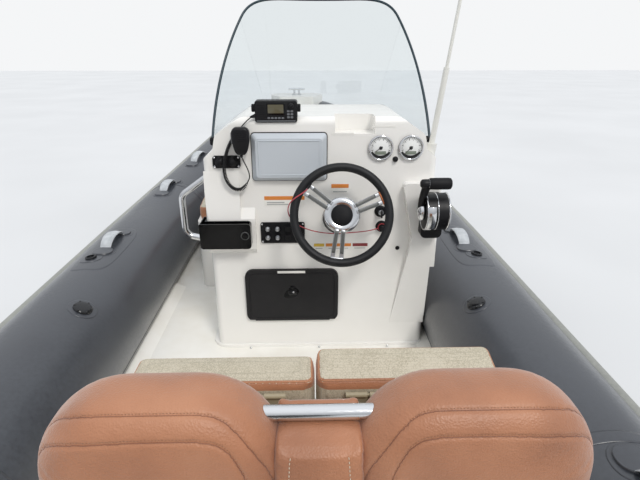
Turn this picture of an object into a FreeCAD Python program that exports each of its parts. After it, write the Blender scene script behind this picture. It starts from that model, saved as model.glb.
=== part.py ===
"""Rigid inflatable boat with console, double helm seat and outboard, one STEP file per piece.

Millimetres.  X to starboard, Y to the bow, Z up; the origin is on the centre line at the waterline.
"""
import FreeCAD, Part
import math
import os
from FreeCAD import Vector

os.makedirs("parts", exist_ok=True)

# Clearances
SEAT_GAP = 0.3
PIN_CLEAR = 0.05
TUBE_CLEAR = 5.0
BLADE_CLEAR = 15.0

# Deck and hull
DECK_Z = 160.0
DECK_THICK = 30.0
TRANSOM_Y = -2150.0
TRANSOM_THICK = 50.0
TRANSOM_TOP = 335.0
TRANSOM_WING_TOP = 430.0
TRANSOM_NOTCH = 420.0
HULL_TOP = DECK_Z - DECK_THICK
DECK_HALF = 700.0
DECK_HALF_FWD = 500.0
CURB_WIDTH = 70.0
CURB_RISE = 26.0

# Buoyancy tubes: straight, then a gentle bend, then the nose
TUBE_R = 225.0
TUBE_X = 815.0
TUBE_Z = DECK_Z + 130.0
BEND_Y = 700.0
PLAN_R = 4800.0
BEND_TURN = 22.5
SHEER_R = 5580.0
NOSE_R = 205.0
CONE_LENGTH = 420.0
CONE_END_R = 115.0
CONE_CAP = 30.0

# Rub strake: degrees above the tube's widest line
STRAKE_LOW = 12.0
STRAKE_HIGH = 40.0
STRAKE_BEVEL = 3.0
STRAKE_THICK = 20.0

# Handles and valves on the tubes
HANDLE_YS = (-1800.0, -1100.0, 337.0)
BOW_HANDLE_HEADINGS = (6.33, 12.99)
HANDLE_LENGTH = 210.0
HANDLE_PATCH_R = 40.0
HANDLE_STRAP_W = 34.0
HANDLE_STRAP_T = 5.0
HANDLE_RISE = 22.0
HANDLE_SINK = 1.5
PATCH_THICK = 3.0
VALVE_Y = 151.0
VALVE_LEAN = 6.0
VALVE_R = 24.0
VALVE_HEIGHT = 10.0
VALVE_PATCH = 12.0
CAP_Y = -240.0
CAP_LEAN = -27.5
CAP_R = 34.0
CAP_HEIGHT = 12.0

# Bow locker, its cushion, fore deck and step
LOCKER_AFT = 560.0
LOCKER_NOSE_BACK = 987.0
LOCKER_HALF_AFT = 470.0
LOCKER_HALF_MID = 500.0
LOCKER_HALF_FWD = 415.0
LOCKER_MID = 640.0
LOCKER_H = 365.0
BOW_CUSHION_T = 85.0
FORE_DECK_H = 330.0
FORE_DECK_DEEP = 190.0
FORE_DECK_NOSE_BACK = 217.0
FORE_DECK_HALF = 190.0
STEP_NOSE_BACK = 217.0
STEP_NOSE_OVER = 150.0
STEP_HALF = 235.0
STEP_NEAR_HALF = 150.0
STEP_RISE = 35.0
STEP_SHOULDER = 150.0

# Console: a hollow moulding open to the bilge, with its door opening in the aft face
CONSOLE_X = 148.0
CONSOLE_HALF = 438.0
CONSOLE_LENGTH = 545.0
CONSOLE_WALL = 8.0
CONSOLE_AFT_R = 26.0
CONSOLE_FWD_R = 60.0
SHOULDER_Z = DECK_Z + 815.0
SHIELD_LEDGE_Z = DECK_Z + 845.0
DASH_HALF = 292.0
DASH_TOP = DECK_Z + 966.0
FLANGE_W = 26.0
FLANGE_T = 12.0
DOOR_X = 31.0
DOOR_Z = DECK_Z + 248.0
DOOR_W = 379.0
DOOR_H = 237.0
DOOR_R = 34.0
DOOR_T = 14.0
DOOR_BEAD_R = 7.0
TRAY_X = 274.0
TRAY_W = 146.0
TRAY_Z = DECK_Z + 905.0
TRAY_LENGTH = 95.0

# Moulded pods on the aft face: the throttle's, the knee panel under it, the port column and the pocket's
POD_T = 38.0
POD_LOW_Z = DECK_Z + 505.0
POD_TOP_Z = DECK_Z + 727.0
POD_LEFT_LOW = 505.0
POD_LEFT_TOP = 457.0
POD_RIGHT = 604.0
KNEE_LOW_Z = DECK_Z + 107.0
KNEE_LEFT = 440.0
PORT_POD_T = 22.0
PORT_POD_RIGHT = -104.0
PORT_POD_LOW_Z = DECK_Z + 440.0
PORT_POD_TOP_Z = DECK_Z + 627.0
PORT_POD_SLOPE = 40.0
COLUMN_RIGHT = -158.0
COLUMN_TOP_Z = DECK_Z + 770.0
POD_EDGE_R = 14.0

# Windshield: a curved sheet standing in the ledge of the console
SHIELD_X = 155.0
SHIELD_R = 425.0
SHIELD_T = 6.0
SHIELD_TOP = DECK_Z + 1386.0
SHIELD_CORNER_R = 140.0
SHIELD_RAKE_LOW_Y = 102.0
SHIELD_RAKE_TOP_Y = 404.0
SHIELD_FOOT_Z = DECK_Z + 850.0
SHIELD_AFT_CUT = 60.0
SHIELD_UPRIGHT = 10.0

# Instruments and fittings on the console's aft face
PLOTTER_X = 33.0
PLOTTER_Z = DECK_Z + 823.0
PLOTTER_W = 275.0
PLOTTER_H = 175.0
PLOTTER_T = 30.0
PLOTTER_BEVEL = 16.0
GAUGE_XS = (370.0, 482.0)
GAUGE_Z = DECK_Z + 855.0
GAUGE_R = 46.0
GAUGE_T = 9.0
GAUGE_LIP = 6.0
KNOB_X = 427.0
KNOB_Z = DECK_Z + 812.0
KNOB_R = 10.0
KNOB_T = 14.0
RADIO_X = -20.0
RADIO_Z = DECK_Z + 985.0
RADIO_W = 172.0
RADIO_H = 82.0
RADIO_DEEP = 58.0
RADIO_AFT = -8.0
MIC_X = -141.0
MIC_Z = DECK_Z + 889.0
MIC_W = 58.0
MIC_H = 98.0
MIC_T = 30.0
MIC_STAND = 24.0
MIC_CLIP_R = 9.0
SOCKET_X = -200.0
SOCKET_Z = DECK_Z + 806.0
SOCKET_W = 102.0
SOCKET_H = 46.0
SOCKET_R = 15.0
PANEL_T = 6.0
SWITCH_X = 0.0
SWITCH_Z = DECK_Z + 524.0
SWITCH_W = 172.0
SWITCH_H = 86.0
KEYS = ((380.0, DECK_Z + 609.0), (387.0, DECK_Z + 547.0))
KEY_R = 19.0
KEY_T = 22.0
POCKET_LEFT = -312.0
POCKET_RIGHT = -118.0
POCKET_LOW = DECK_Z + 480.0
POCKET_TOP = DECK_Z + 581.0
POCKET_STAND = 40.0
POCKET_ARM = 31.0
POCKET_WALL = 5.0
POCKET_KNOB_R = 12.0

# Steering wheel: rim, hub and three split spokes
WHEEL_X = 219.0
WHEEL_Z = DECK_Z + 650.0
WHEEL_STAND = 165.0
WHEEL_R = 184.0
RIM_R = 15.0
WHEEL_TILT = 20.0
HUB_R = 62.0
HUB_T = 26.0
CAP_DOME_R = 38.0
SPOKE_ANGLES = (143.0, 23.0, 263.0)
SPOKE_SPLIT = 15.0
SPOKE_R = 6.0
HELM_R = 70.0
SHAFT_R = 12.0

# Side-mounted throttle
LEVER_X = 545.0
LEVER_Z = DECK_Z + 640.0
LEVER_HUB_R = 44.0
LEVER_ARM_LENGTH = 120.0
LEVER_STAND = 62.0
GRIP_R = 17.0
GRIP_LENGTH = 92.0
LEVER_LEAN = 18.0

# Port grab rail
RAIL_R = 12.5
RAIL_REACH = 105.0
RAIL_TOP_Z = DECK_Z + 735.0
RAIL_LOW_Z = DECK_Z + 470.0
RAIL_Y = 60.0

# Antenna on the starboard shoulder
ANTENNA_X = 560.0
ANTENNA_Y = 32.0
ANTENNA_LEAN = 6.5
ANTENNA_LENGTH = 1180.0
ANTENNA_SLEEVE = 330.0
ANTENNA_R = 6.0
ANTENNA_SLEEVE_R = 10.5
ANTENNA_FOOT_R = 20.0

# Helm seat
SEAT_X = 114.0
SEAT_HALF = 418.0
SEAT_AFT = -1330.0
SEAT_FWD = -790.0
SEAT_BASE_H = 380.0
SEAT_BASE_INSET = 35.0
CUSHION_TOP = DECK_Z + 472.0
BOLSTER_DEEP = 108.0
BOLSTER_TOP = DECK_Z + 514.0
BOLSTER_LIFT = {"port": 0.0, "starboard": 30.0}
BOLSTER_GAP = 8.0
BACK_W = 356.0
BACK_T = 150.0
BACK_CORNER_R = 135.0
BACK_ROUND = 70.0
SEAT_BAR_DROP = 64.0
SEAT_CENTRE_DROP = 82.0
LEAF_H = 44.0
SEAT_BAR_R = 12.0
BACK_TOP = DECK_Z + 760.0
BACK_Y = -1205.0
BACK_X_GAP = 106.0
HINGE_R = 6.0

# Outboard
ENGINE_Y = TRANSOM_Y - 180.0
TILT_Y = TRANSOM_Y - 65.0
TILT_Z = TRANSOM_TOP + 60.0
TILT_R = 14.0
COWL_LOW = 500.0
COWL_H = 520.0
LEG_LOW = -330.0
PROP_Z = -495.0
GEARCASE_R = 55.0
PROP_R = LEG_LOW - PROP_Z - BLADE_CLEAR
LEG_BACK = 125.0
SHAFT_PROP_R = 11.0

# Lifting and towing eyes
EYE_T = 14.0
EYE_HOLE_R = 14.0
EYE_NOSE_BACK = 197.0
EYE_Z = 215.0
STERN_EYE_X = 420.0
STERN_EYE_Z = 270.0


def box(x0, x1, y0, y1, z0, z1):
    return Part.makeBox(x1 - x0, y1 - y0, z1 - z0, Vector(x0, y0, z0))


def rod(radius, start, end):
    run = end - start
    return Part.makeCylinder(radius, run.Length, start, run)


def in_plane(plane, level):
    """Map (a, b) of an outline to space: a plane's two axes, at a level along the third."""
    return {
        "xy": lambda a, b: Vector(a, b, level),
        "xz": lambda a, b: Vector(a, level, b),
        "yz": lambda a, b: Vector(level, a, b),
    }[plane]


def outline(corners, place):
    """Closed wire through corners (a, b, radius), each rounded by its radius."""
    points = [place(a, b) for a, b, _ in corners]
    rounds = []
    for i, (_, _, radius) in enumerate(corners):
        here = points[i]
        to_last = (points[i - 1] - here).normalize()
        to_next = (points[(i + 1) % len(points)] - here).normalize()
        if radius == 0:
            rounds.append((here, None, here))
            continue
        half = to_last.getAngle(to_next) / 2
        cut = radius / math.tan(half)
        middle = here + (to_last + to_next).normalize() * (radius / math.sin(half) - radius)
        rounds.append((here + to_last * cut, middle, here + to_next * cut))
    edges = []
    for i, (start, middle, end) in enumerate(rounds):
        if middle is not None:
            edges.append(Part.Arc(start, middle, end).toShape())
        following = rounds[(i + 1) % len(rounds)][0]
        if (following - end).Length > 1e-6:
            edges.append(Part.LineSegment(end, following).toShape())
    return Part.Wire(edges)


def slab(corners, plane, low, high):
    """Solid of an outline in a plane, from one level to another."""
    push = {"xy": Vector(0, 0, 1), "xz": Vector(0, 1, 0), "yz": Vector(1, 0, 0)}[plane]
    return Part.Face(outline(corners, in_plane(plane, low))).extrude(push * (high - low))


def rectangle(centre_a, centre_b, width, height, radius):
    a0, a1 = centre_a - width / 2, centre_a + width / 2
    b0, b1 = centre_b - height / 2, centre_b + height / 2
    return ((a0, b0, radius), (a1, b0, radius), (a1, b1, radius), (a0, b1, radius))


def mirrored(half):
    """Whole outline from its half at positive a, listed from bottom to top."""
    return tuple(half) + tuple((-a, b, radius) for a, b, radius in reversed(half))


def shifted(corners, a_shift, b_shift):
    return tuple((a + a_shift, b + b_shift, radius) for a, b, radius in corners)


def bent_bar(points, bend_r, radius):
    """Round bar along straight runs joined by tangent arcs."""
    edges = []
    last = points[0]
    for before, here, after in zip(points, points[1:], points[2:]):
        back = (before - here).normalize()
        ahead = (after - here).normalize()
        half = back.getAngle(ahead) / 2
        cut = bend_r / math.tan(half)
        middle = here + (back + ahead).normalize() * (bend_r / math.sin(half) - bend_r)
        edges.append(Part.LineSegment(last, here + back * cut).toShape())
        edges.append(Part.Arc(here + back * cut, middle, here + ahead * cut).toShape())
        last = here + ahead * cut
    edges.append(Part.LineSegment(last, points[-1]).toShape())
    path = Part.Wire(edges)
    profile = Part.Wire([Part.makeCircle(radius, points[0], points[1] - points[0])])
    return path.makePipeShell([profile], True, True)


def fused(solids):
    whole = solids[0]
    for solid in solids[1:]:
        whole = whole.fuse(solid)
    return whole.removeSplitter()


# Tube path: stations are (centre, outward, up, along, radius, heading)

def tube_station_z(y):
    return TUBE_Z + SHEER_R - math.sqrt(SHEER_R ** 2 - max(0.0, y - BEND_Y) ** 2)


TURN_X = TUBE_X - PLAN_R * (1 - math.cos(math.radians(BEND_TURN)))
TURN_Y = BEND_Y + PLAN_R * math.sin(math.radians(BEND_TURN))
NOSE_PLAN_R = TURN_X / math.cos(math.radians(BEND_TURN))
NOSE_Y = TURN_Y + NOSE_PLAN_R * (1 - math.sin(math.radians(BEND_TURN)))
STEP_TOP = tube_station_z(NOSE_Y) + NOSE_R + STEP_RISE
STEP_AFT = NOSE_Y - STEP_NOSE_BACK
STEP_FWD = NOSE_Y + STEP_NOSE_OVER
LOCKER_FWD = NOSE_Y - LOCKER_NOSE_BACK
FORE_DECK_FWD = NOSE_Y - FORE_DECK_NOSE_BACK
EYE_Y = NOSE_Y - EYE_NOSE_BACK
HEADINGS = (0.0, 7.5, 15.0, 22.5, 33.0, 44.0, 56.0, 67.0, 78.0)


def station(heading, y=None):
    """Station of the starboard tube at a heading in degrees from the bow line; past 90 it is port."""
    turn = math.radians(min(heading, 180.0 - heading))
    if y is not None:
        x = TUBE_X
    elif min(heading, 180.0 - heading) <= BEND_TURN:
        x = TUBE_X - PLAN_R * (1 - math.cos(turn))
        y = BEND_Y + PLAN_R * math.sin(turn)
    else:
        x = NOSE_PLAN_R * math.cos(turn)
        y = TURN_Y + NOSE_PLAN_R * (math.sin(turn) - math.sin(math.radians(BEND_TURN)))
    z = tube_station_z(y)
    climb = max(0.0, y - BEND_Y) / SHEER_R
    if heading > 90.0:
        x = -x
    full = math.radians(heading)
    outward = Vector(math.cos(full), math.sin(full), 0)
    along = Vector(-math.sin(full), math.cos(full), climb * math.cos(full)).normalize()
    up = outward.cross(along).normalize()
    taper = max(0.0, y - BEND_Y) / (NOSE_Y - BEND_Y)
    radius = TUBE_R + (NOSE_R - TUBE_R) * taper
    return Vector(x, y, z), outward, up, along, radius


BOW_STATIONS = [station(h) for h in HEADINGS] + [station(90.0)]
BOW_STATIONS += [station(180.0 - h) for h in reversed(HEADINGS)]


def ring(place, extra=0.0):
    centre, outward, up, along, radius = place
    circle = Part.makeCircle(radius + extra)
    circle.Placement = FreeCAD.Placement(FreeCAD.Matrix(
        outward.x, up.x, -along.x, centre.x,
        outward.y, up.y, -along.y, centre.y,
        outward.z, up.z, -along.z, centre.z,
        0, 0, 0, 1))
    return Part.Wire([circle])


def bow_tube(extra=0.0):
    return Part.makeLoft([ring(place, extra) for place in BOW_STATIONS], True, True)


def side_tube(side, extra=0.0):
    """Straight chamber with its stern cone, turned about its own centre line."""
    cone_start = TRANSOM_Y - 30.0
    cone_end = cone_start - CONE_LENGTH
    profile = Part.makePolygon([
        Vector(0, BEND_Y, 0), Vector(TUBE_R + extra, BEND_Y, 0), Vector(TUBE_R + extra, cone_start, 0),
        Vector(CONE_END_R + extra, cone_end, 0), Vector(CONE_END_R - 35.0, cone_end - CONE_CAP, 0),
        Vector(0, cone_end - CONE_CAP, 0), Vector(0, BEND_Y, 0)])
    solid = Part.Face(profile).revolve(Vector(0, 0, 0), Vector(0, 1, 0), 360)
    solid.translate(Vector(side * TUBE_X, 0, TUBE_Z))
    return solid


def all_tubes(extra):
    return [side_tube(-1, extra), side_tube(1, extra), bow_tube(extra)]


def strake_wire(place):
    """Band of the tube's skin between two angles above its widest line."""
    centre, outward, up, _, radius = place

    def at(angle, r):
        a = math.radians(angle)
        return centre + outward * (r * math.cos(a)) + up * (r * math.sin(a))

    middle = (STRAKE_LOW + STRAKE_HIGH) / 2
    inner = radius + SEAT_GAP
    outer = radius + STRAKE_THICK
    return Part.Wire([
        Part.Arc(at(STRAKE_LOW, inner), at(middle, inner), at(STRAKE_HIGH, inner)).toShape(),
        Part.LineSegment(at(STRAKE_HIGH, inner), at(STRAKE_HIGH - STRAKE_BEVEL, outer)).toShape(),
        Part.Arc(at(STRAKE_HIGH - STRAKE_BEVEL, outer), at(middle, outer),
                 at(STRAKE_LOW + STRAKE_BEVEL, outer)).toShape(),
        Part.LineSegment(at(STRAKE_LOW + STRAKE_BEVEL, outer), at(STRAKE_LOW, inner)).toShape()])


def rub_strake():
    places = [station(0.0, TRANSOM_Y)] + BOW_STATIONS + [station(180.0, TRANSOM_Y)]
    return Part.makeLoft([strake_wire(place) for place in places], True, True)


def on_tube(side, y, lean):
    """Point on a straight tube's skin and its outward direction; lean in degrees, outboard positive."""
    angle = math.radians(lean)
    direction = Vector(side * math.sin(angle), 0, math.cos(angle))
    return Vector(side * TUBE_X, y, TUBE_Z) + direction * (TUBE_R + SEAT_GAP), direction


def skin_patch(side, y, lean, radius):
    """Round patch that follows the tube's skin."""
    foot, direction = on_tube(side, y, lean)
    stamp = Part.makeCylinder(radius, 60, foot - direction * 50, direction)
    shell = Part.makeCylinder(TUBE_R + SEAT_GAP + PATCH_THICK, 2 * radius,
                              Vector(side * TUBE_X, y - radius, TUBE_Z), Vector(0, 1, 0))
    core = Part.makeCylinder(TUBE_R + SEAT_GAP, 2 * radius,
                             Vector(side * TUBE_X, y - radius, TUBE_Z), Vector(0, 1, 0))
    return stamp.common(shell.cut(core))


# Hull sections from the transom to the stem: station, keel height, chine half-width, chine height, top
BOW_STATION_1 = NOSE_Y - 587.0
BOW_STATION_2 = NOSE_Y - 277.0
BOW_STATION_3 = NOSE_Y - 37.0
HULL_SECTIONS = (
    (TRANSOM_Y, -300.0, 690.0, -35.0, HULL_TOP),
    (-700.0, -300.0, 700.0, -30.0, HULL_TOP),
    (600.0, -285.0, 690.0, 0.0, HULL_TOP),
    (1350.0, -225.0, 610.0, 55.0, HULL_TOP),
    (LOCKER_FWD, -140.0, 500.0, 110.0, HULL_TOP + 60.0),
    (BOW_STATION_1, 0.0, 350.0, 210.0, tube_station_z(BOW_STATION_1) - 185.0),
    (BOW_STATION_2, 190.0, 200.0, 345.0, tube_station_z(BOW_STATION_2) - 135.0),
    (BOW_STATION_3, 420.0, 50.0, 500.0, tube_station_z(BOW_STATION_3) - 115.0),
)
CHINE_FLAT = 45.0
RAIL_SHARES = (0.34, 0.66)
RAIL_WIDTH = 0.055


def hull_wire(y, keel, chine, chine_z, top):
    """Half section: V bottom with two spray rails, a flat chine and the topside."""
    flat = CHINE_FLAT * chine / HULL_SECTIONS[0][2]
    half = [(0.0, keel)]
    for share in RAIL_SHARES:
        rail_z = keel + (chine_z - keel) * share
        outer = share + RAIL_WIDTH
        half += [(chine * share, rail_z), (chine * outer, rail_z), (chine * outer, keel + (chine_z - keel) * outer)]
    half += [(chine, chine_z), (chine + flat, chine_z + 4.0), (chine + flat, top)]
    points = [Vector(x, y, z) for x, z in half]
    points += [Vector(-x, y, z) for x, z in reversed(half[1:])]
    return Part.makePolygon(points + [points[0]])


def make_hull(tubes):
    whole = Part.makeLoft([hull_wire(*row) for row in HULL_SECTIONS], True, True)
    return whole.cut(tubes[0]).cut(tubes[1]).cut(tubes[2])


def make_deck(tubes, hull):
    plan = ((-DECK_HALF, TRANSOM_Y + TRANSOM_THICK, 0), (DECK_HALF, TRANSOM_Y + TRANSOM_THICK, 0),
            (DECK_HALF, BEND_Y, 0), (DECK_HALF_FWD, LOCKER_FWD, 0),
            (-DECK_HALF_FWD, LOCKER_FWD, 0), (-DECK_HALF, BEND_Y, 0))
    sheet = slab(plan, "xy", HULL_TOP, DECK_Z)
    edge = TUBE_X - math.sqrt(TUBE_R ** 2 - (TUBE_Z - DECK_Z) ** 2)
    curbs = []
    for side in (-1, 1):
        corners = ((side * (edge - CURB_WIDTH), DECK_Z, 0), (side * TUBE_X, DECK_Z, 0),
                   (side * TUBE_X, DECK_Z + CURB_RISE, 0), (side * (edge - 12), DECK_Z + CURB_RISE, 0))
        curbs.append(slab(corners, "xz", TRANSOM_Y + TRANSOM_THICK, LOCKER_AFT))
    whole = fused([sheet] + curbs)
    for tube in tubes:
        whole = whole.cut(tube)
    whole = whole.cut(hull)
    return max(whole.Solids, key=lambda solid: solid.Volume)


def make_transom(tubes):
    low = HULL_TOP + SEAT_GAP
    corners = mirrored((
        (TUBE_X, low, 0), (TUBE_X, TRANSOM_WING_TOP, 0),
        (TRANSOM_NOTCH / 2 + 40, TRANSOM_WING_TOP, 25), (TRANSOM_NOTCH / 2, TRANSOM_TOP, 25)))
    board = slab(corners, "xz", TRANSOM_Y, TRANSOM_Y + TRANSOM_THICK - SEAT_GAP)
    for tube in tubes:
        board = board.cut(tube)
    return max(board.Solids, key=lambda solid: solid.Volume)


def handle_strap():
    """Strap in its own axes: along a, height b over the tube's skin, centred on its width."""
    end = HANDLE_LENGTH / 2
    low = PATCH_THICK - HANDLE_SINK
    thick = HANDLE_STRAP_T
    half = ((end + 20, low, 0), (end + 20, low + thick, 0), (end - 12, low + thick, 0),
            (end - 47, low + HANDLE_RISE + thick, 12))
    inner = ((end - 50, low + HANDLE_RISE, 10), (end - 15, low, 0))
    ring = half + tuple((-a, b, r) for a, b, r in reversed(half))
    ring += tuple((-a, b, r) for a, b, r in reversed(inner)) + inner
    return slab(ring, "yz", -HANDLE_STRAP_W / 2, HANDLE_STRAP_W / 2)


def set_on_tube(solid, place):
    """Move a piece made along +Y with +Z off the skin to a station's uppermost line."""
    centre, outward, up, along, radius = place
    foot = centre + up * (radius + SEAT_GAP)
    solid.Placement = FreeCAD.Placement(FreeCAD.Matrix(
        outward.x, along.x, up.x, foot.x,
        outward.y, along.y, up.y, foot.y,
        outward.z, along.z, up.z, foot.z,
        0, 0, 0, 1))
    return solid


def make_handles(tubes):
    """Webbing handles over the straight tubes and the bow: a strap on two round patches."""
    solids = []
    skins = [side_tube(-1, SEAT_GAP + PATCH_THICK), side_tube(1, SEAT_GAP + PATCH_THICK),
             bow_tube(SEAT_GAP + PATCH_THICK)]
    places = [(station(0.0, y), 1) for y in HANDLE_YS] + [(station(180.0, y), 0) for y in HANDLE_YS]
    for heading in BOW_HANDLE_HEADINGS:
        places += [(station(heading), 2), (station(180.0 - heading), 2)]
    for place, k in places:
        centre, _, up, along, radius = place
        strap = set_on_tube(handle_strap(), place)
        patches = []
        for end in (-HANDLE_LENGTH / 2, HANDLE_LENGTH / 2):
            foot = centre + along * end + up * (radius - HANDLE_PATCH_R)
            stamp = Part.makeCylinder(HANDLE_PATCH_R, 2 * HANDLE_PATCH_R, foot, up)
            patches.append(stamp.common(skins[k]).cut(tubes[k]))
        solids.append(fused([strap] + patches).cut(tubes[k]))
    return Part.makeCompound(solids)


def make_valves():
    solids = []
    for side in (-1, 1):
        for y, lean, radius, height in ((VALVE_Y, VALVE_LEAN, VALVE_R, VALVE_HEIGHT),
                                        (CAP_Y, CAP_LEAN, CAP_R, CAP_HEIGHT)):
            foot, direction = on_tube(side, y, lean)
            cap = Part.makeCylinder(radius, height + 5.0, foot - direction * 5.0, direction)
            core = Part.makeCylinder(TUBE_R + SEAT_GAP, 6 * radius,
                                     Vector(side * TUBE_X, y - 3 * radius, TUBE_Z), Vector(0, 1, 0))
            solids.append(cap.cut(core).fuse(skin_patch(side, y, lean, radius + VALVE_PATCH)).removeSplitter())
    return Part.makeCompound(solids)


def locker_corners(inset):
    return mirrored((
        (LOCKER_HALF_AFT - inset, LOCKER_AFT + inset, 40), (LOCKER_HALF_MID - inset, LOCKER_MID + LOCKER_AFT, 200),
        (LOCKER_HALF_FWD - inset, LOCKER_FWD - inset, 60)))


def make_locker():
    return slab(locker_corners(0.0), "xy", DECK_Z, DECK_Z + LOCKER_H)


def make_bow_cushion():
    low = DECK_Z + LOCKER_H + SEAT_GAP
    return slab(locker_corners(8.0), "xy", low, low + BOW_CUSHION_T)


def make_fore_deck(tubes, hull):
    corners = mirrored(((LOCKER_HALF_FWD - 20, LOCKER_FWD + SEAT_GAP, 0), (FORE_DECK_HALF, FORE_DECK_FWD, 0)))
    solid = slab(corners, "xy", DECK_Z + FORE_DECK_H - FORE_DECK_DEEP, DECK_Z + FORE_DECK_H)
    for cutter in [hull] + tubes:
        solid = solid.cut(cutter)
    return max(solid.Solids, key=lambda piece: piece.Volume)


def make_bow_step(cutters):
    corners = mirrored(((STEP_NEAR_HALF, STEP_AFT, 20), (STEP_HALF, STEP_AFT + STEP_SHOULDER, 20),
                        (STEP_HALF, STEP_FWD - 110, 20), (STEP_HALF - 80, STEP_FWD, 20)))
    solid = slab(corners, "xy", tube_station_z(NOSE_Y) + NOSE_R / 2, STEP_TOP)
    for cutter in cutters:
        solid = solid.cut(cutter)
    return max(solid.Solids, key=lambda piece: piece.Volume)


def make_bow_cleat():
    """Two posts under a round bar with thickened ends."""
    y = (STEP_AFT + STEP_FWD) / 2
    base = slab(rectangle(0, y, 90, 60, 20), "xy", STEP_TOP, STEP_TOP + 6)
    posts = [rod(9, Vector(x, y, STEP_TOP + 6), Vector(x, y, STEP_TOP + 48)) for x in (-22, 22)]
    bar = rod(10, Vector(-75, y, STEP_TOP + 50), Vector(75, y, STEP_TOP + 50))
    return fused([base] + posts + [bar])


def eye_plate(centre, plane, thickness):
    """Flat lug with rounded top and one round hole, standing off what carries it."""
    a, b = centre
    return slab(rectangle(a, b, 2 * EYE_HOLE_R + 24, 2 * EYE_HOLE_R + 24, EYE_HOLE_R + 4),
                plane, -thickness / 2, thickness / 2)


def make_bow_eye(hull):
    """Towing eye on the stem: a lug with its foot let into the keel line."""
    lug = eye_plate((EYE_Y, EYE_Z), "yz", EYE_T)
    foot = box(-EYE_T / 2, EYE_T / 2, EYE_Y - 90, EYE_Y - EYE_HOLE_R - 4, EYE_Z - 14, EYE_Z + 60)
    hole = rod(EYE_HOLE_R, Vector(-50, EYE_Y, EYE_Z), Vector(50, EYE_Y, EYE_Z))
    return lug.fuse(foot).cut(hole).cut(hull).removeSplitter()


def make_stern_eyes():
    """Towing eyes on the transom: a foot plate and a level lug with an upright hole."""
    solids = []
    for side in (-1, 1):
        x = side * STERN_EYE_X
        y = TRANSOM_Y - 5.0 - EYE_HOLE_R - 12
        plate = slab(rectangle(x, STERN_EYE_Z, 60, 60, 12), "xz", TRANSOM_Y - 5.0, TRANSOM_Y - SEAT_GAP)
        lug = eye_plate((x, y), "xy", EYE_T)
        lug = lug.fuse(box(x - 22, x + 22, y, TRANSOM_Y - 3.0, -EYE_T / 2, EYE_T / 2))
        lug.translate(Vector(0, 0, STERN_EYE_Z))
        hole = rod(EYE_HOLE_R, Vector(x, y, STERN_EYE_Z - 50), Vector(x, y, STERN_EYE_Z + 50))
        solids.append(plate.fuse(lug).cut(hole).removeSplitter())
    return Part.makeCompound(solids)


def console_front(inset):
    """Half of the console's outline seen from aft, from the deck to the dash top."""
    half = CONSOLE_HALF - inset
    return (
        (half, DECK_Z - 20 if inset else DECK_Z, 0), (half, SHOULDER_Z - inset, 22),
        (half - 40, SHIELD_LEDGE_Z - inset, 12), (half - 52, SHIELD_LEDGE_Z + 58 - inset, 30),
        (DASH_HALF - inset, DASH_TOP - inset, 60))


def console_body(inset):
    front = slab(shifted(mirrored(console_front(inset)), CONSOLE_X, 0), "xz", inset, CONSOLE_LENGTH - inset)
    side = slab((
        (inset, DECK_Z - 20, 0), (inset, DASH_TOP - inset, 28),
        (CONSOLE_LENGTH - 130 - inset, DASH_TOP + 10 - inset, 60), (CONSOLE_LENGTH - inset, DASH_TOP - 240, 60),
        (CONSOLE_LENGTH - inset, DECK_Z - 20, 0)), "yz", CONSOLE_X - CONSOLE_HALF, CONSOLE_X + CONSOLE_HALF)
    x0, x1 = CONSOLE_X - CONSOLE_HALF + inset, CONSOLE_X + CONSOLE_HALF - inset
    y1 = CONSOLE_LENGTH - inset
    plan = slab(((x0, inset, CONSOLE_AFT_R - inset), (x1, inset, CONSOLE_AFT_R - inset),
                 (x1, y1, CONSOLE_FWD_R - inset), (x0, y1, CONSOLE_FWD_R - inset)),
                "xy", DECK_Z - 20, DASH_TOP + 20)
    return front.common(side).common(plan)


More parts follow.
